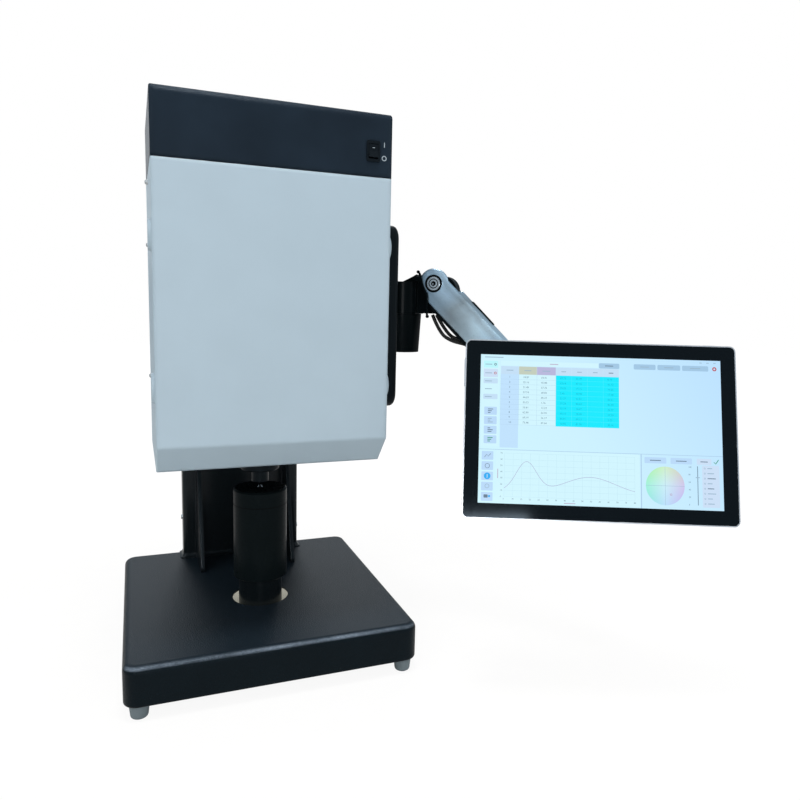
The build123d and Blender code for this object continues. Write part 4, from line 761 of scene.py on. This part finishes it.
@dataclass
class Head:
    """The measuring head with its covers, port, switch and rear panel."""

    front: float = -122.0
    back: float = 86.0
    half_width: float = 122.0
    screw_y: float = -11.0
    screw_heights: tuple[float, ...] = (133.5, 278.9, 346.5)
    mark_x: float = 112.8
    mark_on_z: float = 389.6
    mark_off_z: float = 375.8
    inlet_x: float = -90.0
    inlet_z: float = 382.3
    socket_x: float = 88.0
    contact_pitch: float = 2.76

    def build(self) -> None:
        """Build and dress the head."""
        dress(COVER_PAINT, "lower_cover")
        dress(BAND_PAINT, "top_cover", "port_plate")
        dress(PORT_ANODISE, "port_ring", "target_mask")
        dress(FRAME_ALLOY, "seam_strip", "spine_frame", "power_supply", "flash_lamps")
        dress(SPHERE_COAT, "sphere_lower", "sphere_upper")
        dress(MODULE_PLASTIC, "spectral_module")
        dress(BOARD_GREEN, "main_board")
        dress(PLATE_COAT, "rear_panel")
        dress(SOCKET_PLASTIC, "mains_inlet")
        dress(BRIGHT_STEEL, "data_socket")
        dress(SWITCH_PLASTIC, "switch_bezel", "switch_rocker")
        self.side_screws()
        self.switch_marks()
        self.connector_pins()

    def side_screws(self) -> None:
        """Build the covers' pan-head screws, each with a dark cross painted on as its recess's shade."""
        profile = [(0.0, 3.2), (1.2, 3.15), (2.2, 2.6), (2.8, 1.5), (3.0, 0.6), (3.0, 0.0), (0.0, 0.0)]
        for side, name in ((-1, "left"), (1, "right")):
            wall = ((side * self.half_width, 0, 0), Vector((0, side, 0)), UP)
            heads = Sheet("cover_screw_heads_" + name, *wall)
            marks = Sheet("cover_screw_recess_shades_" + name, *wall)
            for z in self.screw_heights:
                heads.lathe(profile, side * self.screw_y, z, 24)
                # A dark cross standing on the head is painted shade for the cross recess.
                for half_width, half_height in ((1.5, 0.3), (0.3, 1.5)):
                    marks.card(side * self.screw_y - half_width, z - half_height, 2 * half_width,
                               2 * half_height, 2.9, 3.22)
            piece = heads.finish(SCREW_STEEL, Body.STAND, "steel_fastener")
            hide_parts("cover_screws")
            marks.finish(SHADOW_GAP, Body.STAND, "steel_fastener", smooth=False)

    def switch_marks(self) -> None:
        """Print the plain on and off marks beside the switch, and lay a painted highlight on the rocker."""
        marks = Sheet("switch_marks", (0, self.front, 0), RIGHT, UP)
        marks.card(self.mark_x - 0.35, self.mark_on_z - 2.6, 0.7, 5.2, 0.0, 0.06)
        marks.hoop(self.mark_x, self.mark_off_z, 2.7, 1.9, 0.0, 0.06)
        marks.finish(MARK_AND_GLINT_WHITE, Body.STAND, "switch_plastic", smooth=False)
        # The pale dash on the rocker is a painted highlight on its ridge.
        dash = Sheet("rocker_painted_highlight", (0, self.front - 2.0, 0), RIGHT, UP)
        dash.card(99.0, 385.2, 3.0, 0.5, -0.9, -0.84)
        dash.finish(MARK_AND_GLINT_WHITE, Body.ROCKER, "switch_plastic", smooth=False)

    def connector_pins(self) -> None:
        """Build the mains inlet's blades and the data socket's contacts."""
        blades = Sheet("inlet_blades", (self.inlet_x, self.back - 13.0, self.inlet_z), -RIGHT, UP)
        for x, z in ((0, 2.0), (-7.0, -2.0), (7.0, -2.0)):
            blades.card(x - 1.05, z - 2.05, 2.1, 4.1, 0.2, 12.1, 0.5)
        blades.finish(BRIGHT_STEEL, Body.STAND, "bright_steel")
        pins = Sheet("data_contacts", (self.socket_x, self.back - 5.0, self.inlet_z), -RIGHT, UP)
        for row, count in ((1.4, 5), (-1.4, 4)):
            for i in range(count):
                pins.disc((i - (count - 1) / 2) * self.contact_pitch, row, 0.5, 0.0, 3.4, 10)
        pins.finish(BRIGHT_STEEL, Body.STAND, "bright_steel")


@dataclass
class CableRun:
    """One short cable from the yoke into the arm's channel, and where the lower link holds it."""

    name: str
    across: float
    grip: tuple[float, float]
    route: Levels


@dataclass
class Arm:
    """The wall plate and the jointed arm with its cables."""

    pivot: Point = (204.505, -61.942, 247.1)
    yaw: float = radians(-39.0)
    pitch: float = radians(-44.5)
    cheek: float = 15.0
    arm_top: float = 15.0
    rail_across: float = 11.0
    rail_start: float = 44.5
    rail_length: float = 39.0
    cable_radius: float = 2.2
    cable_sides: int = 14
    runs: tuple[CableRun, ...] = (
        CableRun("cable_outer", 3.2, (33.0, -70.5),
                 ((-3.7, -37.6), (5.8, -58.7), (20.0, -68.4), (39.8, -71.9), (53.7, -76.6))),
        CableRun("cable_inner", -3.2, (31.0, -68.1),
                 ((-0.3, -37.6), (13.2, -60.3), (28.5, -67.6), (48.7, -71.7))),
    )

    def __post_init__(self) -> None:
        """Work out the level and the front of the arm's plane."""
        self.level = Vector((cos(self.yaw), sin(self.yaw), 0))
        self.front = Vector((sin(self.yaw), -cos(self.yaw), 0))

    def build(self) -> None:
        """Build and dress the arm."""
        dress(PLATE_COAT, "wall_plate", "tablet_holder")
        dress(SCREW_STEEL, "plate_standoffs", "plate_screws", "arm_pins")
        dress(ARM_PLASTIC, "arm_socket", "arm_yoke", "cable_clip", "end_yoke", "swivel_collar", "tilt_block")
        dress(LINK_PLASTIC, "lower_link")
        dress(ARM_ALLOY, "arm_shell")
        dress(BRIGHT_STEEL, "pivot_caps", "gas_spring")
        for run in self.runs:
            self.cable(run)
        self.pivot_ring()
        self.slide_rail()

    def local(self, x: float, z: float, across: float) -> Vector:
        """Give a point in millimetres from the near joint's own."""
        return Vector(self.pivot) + self.level * x + self.front * across + UP * z

    def cable(self, run: CableRun) -> None:
        """Build one cable as a tube along its smooth route.

        Args:
            run: The cable's name, offset, grip and route.
        """
        guide = bpy.data.curves.new(run.name + "_guide", "CURVE")
        guide.dimensions = "3D"
        guide.resolution_u = 16
        spline = guide.splines.new("NURBS")
        spline.points.add(len(run.route) - 1)
        for knot, (x, z) in zip(spline.points, run.route):
            knot.co = (*self.local(x, z, run.across) * MM, 1.0)
        spline.order_u = 3
        spline.use_endpoint_u = True
        path = [vertex.co.copy() for vertex in meshed(guide).vertices]
        sheet = Sheet(run.name + "_jacket", (0, 0, 0))
        radius = self.cable_radius * MM
        rings = []
        for i, point in enumerate(path):
            ahead = (path[min(i + 1, len(path) - 1)] - path[max(i - 1, 0)]).normalized()
            side = ahead.cross(self.front).normalized()
            rings.append([sheet.mesh.verts.new(point + side * x + self.front * y)
                          for x, y in circle(0.0, 0.0, radius, self.cable_sides)])
        sheet.tube(rings)
        data = sheet.data()
        data.materials.append(CABLE_JACKET.material())
        data.shade_smooth()
        jacket = put(sheet.name, data)
        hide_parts(run.name)
        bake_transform(jacket)

    def pivot_ring(self) -> None:
        """Build the black washer, the turned steel rings round the near pivot's screw and a painted glint."""
        place = (self.local(0, 0, self.cheek), self.level, UP)
        dark = Sheet("pivot_washer", *place)
        dark.hoop(0, 0, 10.65, 8.0, 0.0, 0.98, 56)
        dark.hoop(0, 0, 5.9, 4.8, 1.5, 1.62, 40)
        dark.disc(0, 0, 2.9, 1.5, 1.62, 24)
        dark.finish(ARM_PLASTIC, Body.UPPER_ARM, "arm_plastic")
        bright = Sheet("pivot_rings_and_painted_glint", *place)
        bright.hoop(0, 0, 7.7, 5.9, 1.45, 1.58, 56)
        bright.hoop(0, 0, 4.8, 2.9, 1.45, 1.6, 40)
        # An off-centre steel spot on the dark centre is a painted glint.
        bright.disc(-0.5, -0.4, 0.8, 1.55, 1.72, 16)
        bright.finish(BRIGHT_STEEL, Body.UPPER_ARM, "bright_steel")

    def slide_rail(self) -> None:
        """Build the black rail let into the arm's top, with three grooves along it."""
        along = (self.level * cos(self.pitch) + UP * sin(self.pitch)).normalized()
        middle = Vector(self.pivot) - self.front * self.rail_across
        sheet = Sheet("slide_rail", middle, along, self.front.cross(along))
        start, length = self.rail_start, self.rail_length
        sheet.card(start, self.arm_top - 1.5, length, 2.3, -3.0, 3.0, 0.6)
        for offset in (-1.9, 0.0, 1.9):
            sheet.card(start + 1.5, self.arm_top + 0.75, length - 3.0, 0.35, offset - 0.45, offset + 0.45)
        rail = sheet.finish(ARM_PLASTIC, Body.UPPER_ARM, "arm_plastic")
        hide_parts("adjuster_strip")


@dataclass
class Tablet:
    """The tablet, its keys and the measuring page on its display.

    Places on the page are millimetres right of and below its upper left corner, and each layer
    lies a little in front of the one below it.
    """

    centre: Point = (321.10, -244.99, 91.48)
    yaw: float = radians(-24.0)
    tilt: float = radians(15.9)
    front: float = 4.25
    screen_width: float = 258.5
    screen_height: float = 160.5
    layer_step: float = 0.02
    layer_depth: float = 0.015
    print_height: float = 0.16
    layers: dict[Lit, Sheet] = field(default_factory=dict)

    def __post_init__(self) -> None:
        """Work out the tablet's right, up and outward directions."""
        self.right = Vector((cos(self.yaw), sin(self.yaw), 0))
        level = Vector((sin(self.yaw), -cos(self.yaw), 0))
        self.out = level * cos(self.tilt) + UP * sin(self.tilt)
        self.up = self.out.cross(self.right)

    def build(self) -> None:
        """Build and dress the tablet."""
        dress(TABLET_ALLOY, "tablet_case", "power_button", "volume_button")
        dress(GLASS_BLACK, "cover_glass")
        self.page()
        for look, sheet in self.layers.items():
            self.show(sheet, look)

    def sheet(self, name: str) -> Sheet:
        """Start a mesh on the display."""
        return Sheet(name, self.centre, self.right, self.up)

    def show(self, sheet: Sheet, look: Lit) -> None:
        """Light up a sheet of the display."""
        sheet.finish(look, Body.TABLET, "screen_glass", smooth=False)

    def layer(self, look: Lit) -> Sheet:
        """Give the sheet that holds everything of one colour, started if need be."""
        if look not in self.layers:
            self.layers[look] = self.sheet("page_" + look.name)
        return self.layers[look]

    def at(self, x: float, y: float) -> tuple[float, float]:
        """Give a place on the page in the display's own axes."""
        return x - self.screen_width / 2, self.screen_height / 2 - y

    def span(self, level: int) -> tuple[float, float]:
        """Give a layer's back and front heights."""
        top = self.front + self.layer_step * (level + 1)
        return top - self.layer_depth, top

    def place(self, x: float, y: float, height: float = 0.0) -> Vector:
        """Give the point in metres at a place in the display's own axes."""
        return (Vector(self.centre) + self.right * x + self.up * y + self.out * height) * MM

    def block(self, look: Lit, x: float, y: float, width: float, height: float, level: int = 1,
              radius: float = 0.0) -> None:
        """Lay a block on the page from its upper left corner, some layers up."""
        self.layer(look).card(*self.at(x, y + height), width, height, *self.span(level), radius)

    def spot(self, look: Lit, x: float, y: float, radius: float, level: int = 1, inner: float = 0.0) -> None:
        """Lay a disc, or a ring if it has an inner radius, on the page."""
        if inner > 0:
            self.layer(look).hoop(*self.at(x, y), radius, inner, *self.span(level))
        else:
            self.layer(look).disc(*self.at(x, y), radius, *self.span(level))

    def line(self, look: Lit, points: Outline, width: float, level: int = 2) -> None:
        """Lay a line through points on the page."""
        self.layer(look).ribbon([self.at(*point) for point in points], width, *self.span(level))

    def page(self) -> None:
        """Lay out the measuring page."""
        ground = self.sheet("page_ground")
        ground.card(*self.at(0, self.screen_height), self.screen_width, self.screen_height, *self.span(0))
        slope = (self.right * 0.85 + self.up * 0.52).normalized()
        tones = ((0.0, (0.63, 0.91, 0.99)), (0.45, (0.6, 0.87, 0.99)), (1.0, (0.5, 0.75, 0.99)))
        sweep = Sweep(tuple(self.place(-129.0, -80.0)), tuple(slope), 0.3, tones)
        self.show(ground, Lit("page_ground_glow", sweeps=(sweep,)))
        self.top_bar()
        self.rail()
        self.table()
        self.tool_column()
        self.chart()
        self.colour_group()

    def top_bar(self) -> None:
        """Lay the title line and the row of keys along the top."""
        self.block(FAINT, 4.5, 2.5, 20.0, 0.9)
        for x in (236.0, 243.5, 251.0):
            self.block(FAINT, x, 2.4, 2.6, 0.8)
        self.block(CELL, 22.0, 6.6, 105.5, 5.0)
        self.block(ROSE_INK, 75.0, 8.6, 9.0, 0.9, 2)
        for x, width in ((128.0, 22.0), (165.5, 23.5), (191.0, 24.5), (217.5, 28.0)):
            self.block(STEEL, x, 6.2, width, 5.8, 1, 1.2)
            self.block(INK if x < 150 else FAINT, x + width * 0.3, 8.6, width * 0.4, 0.9, 2)
        self.spot(RED, 252.0, 9.2, 2.3, 2, 1.0)

    def rail(self) -> None:
        """Lay the column of marks and keys down the left side."""
        self.block(CELL, 1.6, 6.0, 19.0, 94.0)
        for y, height, look in ((7.0, 7.6, MINT), (16.0, 9.0, ROSE), (26.4, 5.6, PALE), (35.0, 5.6, CELL),
                                (43.6, 5.6, PALE)):
            self.block(look, 3.4, y, 15.4, height, 2, 0.8)
            self.block(FAINT, 5.0, y + height * 0.45, 7.5, 0.9, 3)
        self.spot(INK, 16.0, 10.8, 1.4, 3, 0.7)
        self.spot(RED, 16.0, 20.5, 1.4, 3, 0.8)
        for i, look in enumerate((INK, FAINT, INK, GREEN)):
            y = 57.6 + 10.3 * i
            self.block(PALE_KEY, 4.8, y, 13.6, 8.7, 2, 0.8)
            for k in range(3):
                self.block(look, 8.8, y + 2.0 + 1.9 * k, 5.6 - 1.4 * ((k + i) % 3), 0.9, 3)
        self.block(RULE, 0.0, 103.2, self.screen_width, 0.5, 2)

    def table(self) -> None:
        """Lay the table of readings, with the chosen columns filled."""
        edges = (22.0, 41.5, 61.0, 81.5, 98.5, 115.5, 132.5, 149.5)
        heads = (PALE, TAN, LILAC, PALE, PALE, PALE, PALE)
        top, row, rows = 21.2, 5.5, 10
        self.block(FIRST_COLUMN, edges[0], top, edges[1] - edges[0], 80.0)
        self.block(CELL, edges[1], top, edges[3] - edges[1], row * rows)
        self.block(CYAN, edges[3], top, edges[-1] - edges[3], row * rows + 0.6)
        for i, head in enumerate(heads):
            self.block(head, edges[i] + 0.1, 12.4, edges[i + 1] - edges[i] - 0.2, top - 12.4)
            self.block(INK if i == 6 else FAINT, edges[i] + 6.0, 16.4, edges[i + 1] - edges[i] - 12.0, 0.9, 2)
            self.block(CYAN_LINE if i > 3 else RULE, edges[i], top, 0.18, row * rows, 2)
        for line in range(1, rows + 1):
            self.block(RULE, edges[0], top + row * line, edges[3] - edges[0], 0.18, 2)
            self.block(CYAN_LINE, edges[3], top + row * line, edges[-1] - edges[3], 0.2, 2)
        for i, seed in enumerate((17, 31, 43, 59, 89)):
            lines = [f"{(seed * (line + 3) * 37) % 9000 / 100:.2f}" for line in range(rows)]
            column = (1, 2, 3, 4, 6)[i]
            self.text(f"page_readings_{i + 1}", lines, edges[column] + 4.6, top + 4.0, 2.9, row,
                      CYAN_INK if column > 2 else INK)
        self.text("page_row_numbers", [str(line + 1) for line in range(rows)], 31.0, top + 4.0, 2.9, row, INK)

    def tool_column(self) -> None:
        """Lay the five tool keys beside the graph."""
        for i in range(5):
            self.block(PALE_KEY, 3.2, 105.6 + 10.9 * i, 12.4, 9.2, 2, 0.8)
        self.line(INK, [(6.2, 112.0), (8.4, 109.2), (10.2, 111.0), (12.8, 108.0)], 0.5, 3)
        self.spot(INK, 9.4, 121.2, 2.6, 3, 2.1)
        self.spot(BLUE, 9.4, 132.0, 3.6, 3)
        self.block(PALE, 9.0, 130.0, 0.8, 4.0, 4)
        self.spot(FAINT, 9.4, 142.6, 2.4, 3, 1.8)
        self.block(INK, 6.0, 151.6, 4.4, 3.4, 3, 0.5)
        self.block(BLUE, 10.8, 152.2, 2.2, 2.2, 3, 0.4)

    def chart(self) -> None:
        """Lay the graph with its ruled ground, plain numbers and a smooth curve of two humps."""
        left, top, width, height = 27.5, 107.0, 138.0, 46.0
        self.block(CELL, 18.5, 104.2, 152.5, 55.2)
        for i in range(8):
            self.block(GRID, left, top + height * i / 7, width, 0.2, 2)
        for i in range(16):
            self.block(GRID, left + width * i / 15, top, 0.2, height, 2)
        points = []
        for i in range(61):
            t = i / 60
            hump = 31.0 * exp(-((t - 0.17) / 0.11) ** 2) + 17.0 * exp(-((t - 0.66) / 0.27) ** 2)
            points.append((left + t * width, top + height - 6.0 - hump))
        self.line(VIOLET, points, 0.45, 4)
        self.block(ROSE_INK, 91.0, 157.8, 12.0, 0.8, 2)
        self.block(ROSE_INK, 20.2, 124.0, 0.8, 10.0, 2)
        rises = [str(70 - 10 * line) for line in range(8)]
        self.text("page_axis_up", rises, 23.2, top + 0.9, 2.3, height / 7, INK)
        for i in range(16):
            x = left - 1.2 + width * i / 15
            self.text(f"page_axis_{i + 1}", [str(5 * i + 5)], x, 156.2, 2.3, 3.0, INK)

    def colour_group(self) -> None:
        """Lay the round colour chart with its axes, the lightness bar and the list beside it."""
        self.block(RULE, 172.0, 103.2, 0.9, 57.3, 2)
        for x, width, look in ((176.0, 23.0, PALE_KEY), (203.5, 22.5, PALE_KEY), (231.0, 15.5, ROSE)):
            self.block(look, x, 106.4, width, 6.4, 1, 0.8)
            self.block(INK, x + width * 0.25, 109.2, width * 0.5, 0.9, 2)
        self.line(GREEN, [(249.0, 109.6), (250.8, 111.6), (254.0, 107.0)], 0.9, 3)
        centre_x, centre_y, radius = 197.5, 136.2, 20.3
        disc = self.sheet("page_colour_disc")
        disc.disc(*self.at(centre_x, centre_y), radius, *self.span(3), 64)
        pale, reach = (0.6, 0.85, 0.94), 2 * radius * MM
        sweeps = []
        for way, first, last in ((self.right, (0.1, 0.9, 0.45), (0.64, 0.26, 0.73)),
                                 (self.up, (0.4, 0.64, 1.0), (0.66, 0.88, 0.21))):
            start = self.place(*self.at(centre_x, centre_y)) - way * radius * MM
            sweeps.append(Sweep(tuple(start), tuple(way), reach, ((0.0, first), (0.5, pale), (1.0, last))))
        self.show(disc, Lit("page_colour_disc_glow", sweeps=tuple(sweeps)))
        self.line(FAINT, [(centre_x - radius, centre_y), (centre_x + radius, centre_y)], 0.3, 5)
        self.line(FAINT, [(centre_x, centre_y - radius), (centre_x, centre_y + radius)], 0.3, 5)
        self.spot(ROSE_INK, centre_x + 6.0, centre_y + 9.0, 1.2, 6, 0.6)
        self.text("page_scale", [str(100 - 20 * line) for line in range(6)], 222.0, 116.4, 2.3, 7.9, INK)
        self.block(INK, 231.4, 114.5, 0.7, 41.0, 2)
        self.block(FAINT, 229.6, 126.0, 4.3, 0.9, 3)
        self.block(ROSE, 236.5, 113.5, 18.0, 44.0, 1, 0.8)
        for i in range(8):
            self.spot(FAINT, 239.2, 116.6 + 5.3 * i, 0.9, 2, 0.5)
            self.block(INK if i in (2, 4) else FAINT, 242.0, 116.1 + 5.3 * i, 5.0 + 1.8 * (i % 3), 0.9, 2)

    def text(self, name: str, lines: list[str], x: float, y: float, size: float, pitch: float,
             ink: Lit) -> None:
        """Set one column of plain numbers.

        Args:
            name: The piece's name.
            lines: One number for each line.
            x: Left edge on the page.
            y: First line's foot from the page's top.
            size: Height of the type.
            pitch: Distance from line to line.
            ink: The type's colour.
        """
        data = bpy.data.curves.new(name, "FONT")
        data.body = "\n".join(lines)
        data.size = size * MM
        data.space_line = pitch / size
        data.resolution_u = 2
        mesh = meshed(data)
        place = self.place(*self.at(x, y), self.front + self.print_height)
        mesh.transform(axes_matrix(self.right, self.up, self.out, place))
        mesh.materials.clear()
        place_piece(name, mesh, ink, Body.TABLET, smooth=False)


# ---------------------------------------------------------------------------- studio
@dataclass
class Studio:
    """A plain pale floor, soft lights and the camera."""

    floor_z: float = -207.2
    floor_side: float = 6.0
    near: float = 0.45
    far: float = 0.95
    mirrored: float = 0.42
    aim: Point = (60.0, 0.0, 80.0)
    lens: float = 31.714
    shift: tuple[float, float] = (-0.0305, -0.0034)
    camera_place: Point = (-139.56, -864.48, 222.4)
    right: Point = (0.92532, -0.37822, 0.02704)
    up: Point = (0.02481, 0.13155, 0.99100)
    forward: Point = (0.37837, 0.91632, -0.13111)

    def build(self) -> None:
        """Build the studio."""
        self.backdrop()
        self.world()
        self.lamp("key", (-1500.0, -700.0, 1300.0), 1.6, 15.0)
        self.lamp("front", (-280.0, -1450.0, 200.0), 0.3, 4.0)
        self.lamp("fill", (1300.0, -900.0, 700.0), 1.6, 7.0)
        self.lamp("back", (200.0, 1500.0, 1100.0), 1.8, 13.0)
        self.lamp("ceiling", (-40.0, -330.0, 1500.0), 0.3, 13.0)
        self.camera()
        bpy.context.scene.view_settings.view_transform = "Standard"

    def camera(self) -> None:
        """Set the camera."""
        data = bpy.data.cameras.new("studio_camera")
        data.sensor_width = 36.0
        data.lens = self.lens
        data.shift_x, data.shift_y = self.shift
        data.clip_start = 0.01
        data.dof.use_dof = False
        camera = put("studio_camera", data)
        camera.matrix_world = axes_matrix(Vector(self.right), Vector(self.up), -Vector(self.forward),
                                          Vector(self.camera_place) * MM)
        bpy.context.scene.camera = camera

    def backdrop(self) -> None:
        """Lay the pale floor, which looks whiter further out and keeps the object's shadow."""
        mesh = bpy.data.meshes.new("studio_floor")
        side, height = self.floor_side, self.floor_z * MM - 0.0002
        corners = [(-side, -side, height), (side, -side, height), (side, side, height), (-side, side, height)]
        mesh.from_pydata(corners, [], [(0, 1, 2, 3)])
        floor = put("studio_floor", mesh)
        paint = bpy.data.materials.new("pale_floor")
        nodes = Nodes(paint)
        fine = nodes.noise(nodes.place(), 40.0, 2.0)
        diffuse = nodes.add("BsdfDiffuse", Color=nodes.tint(fine, (0.6, 0.59, 0.57), (0.64, 0.63, 0.61)))
        glow = nodes.add("Emission", Color=(1.0, 1.0, 1.0), Strength=1.05)
        ray = nodes.add("LightPath").outputs
        away = nodes.add("VectorMath", nodes.add("TexCoord").outputs["Object"], operation="LENGTH")
        seen = nodes.spread(away.outputs["Value"], self.near, self.far, 0.88, 1.0,
                            interpolation_type="SMOOTHSTEP")
        shine = nodes.math("MAXIMUM", ray["Is Glossy Ray"], ray["Is Transmission Ray"])
        mirrored = nodes.math("MULTIPLY", shine, self.mirrored)
        share = nodes.math("MULTIPLY_ADD", ray["Is Camera Ray"], seen, mirrored)
        nodes.surface(nodes.add("MixShader", share, diffuse.outputs[0], glow.outputs[0]))
        mesh.materials.append(paint)

    def world(self) -> None:
        """Light the scene softly from all round, with a white ground behind the object."""
        world = bpy.data.worlds.new("soft_room")
        bpy.context.scene.world = world
        nodes = Nodes(world, "OutputWorld")
        ray = nodes.add("LightPath").outputs
        hue = nodes.mix(ray["Is Glossy Ray"], (1.0, 1.0, 1.0), (0.74, 0.88, 1.0))
        shine = nodes.math("MAXIMUM", ray["Is Glossy Ray"], ray["Is Transmission Ray"])
        strength = nodes.math("MAXIMUM", ray["Is Camera Ray"], nodes.math("MULTIPLY_ADD", shine, 0.1, 0.32))
        nodes.surface(nodes.add("Background", Color=hue, Strength=strength))

    def lamp(self, name: str, place: Point, size: float, power: float) -> None:
        """Hang one soft lamp that looks at the object.

        Args:
            name: The lamp's name.
            place: Where it hangs, in millimetres.
            size: Its side in metres.
            power: Its power in watts.
        """
        data = bpy.data.lights.new("lamp_" + name, "AREA")
        data.size = size
        data.energy = power
        lamp = put("lamp_" + name, data)
        lamp.location = Vector(place) * MM
        aim = Vector(self.aim) * MM - lamp.location
        lamp.rotation_euler = aim.to_track_quat("-Z", "Y").to_euler()


def main() -> None:
    """Build the object and the studio."""
    for part in (Stand(), Plunger(), Head(), Arm(), Tablet(), Studio()):
        LOG.info("building %s", type(part).__name__)
        part.build()


if __name__ == "__main__":
    main()
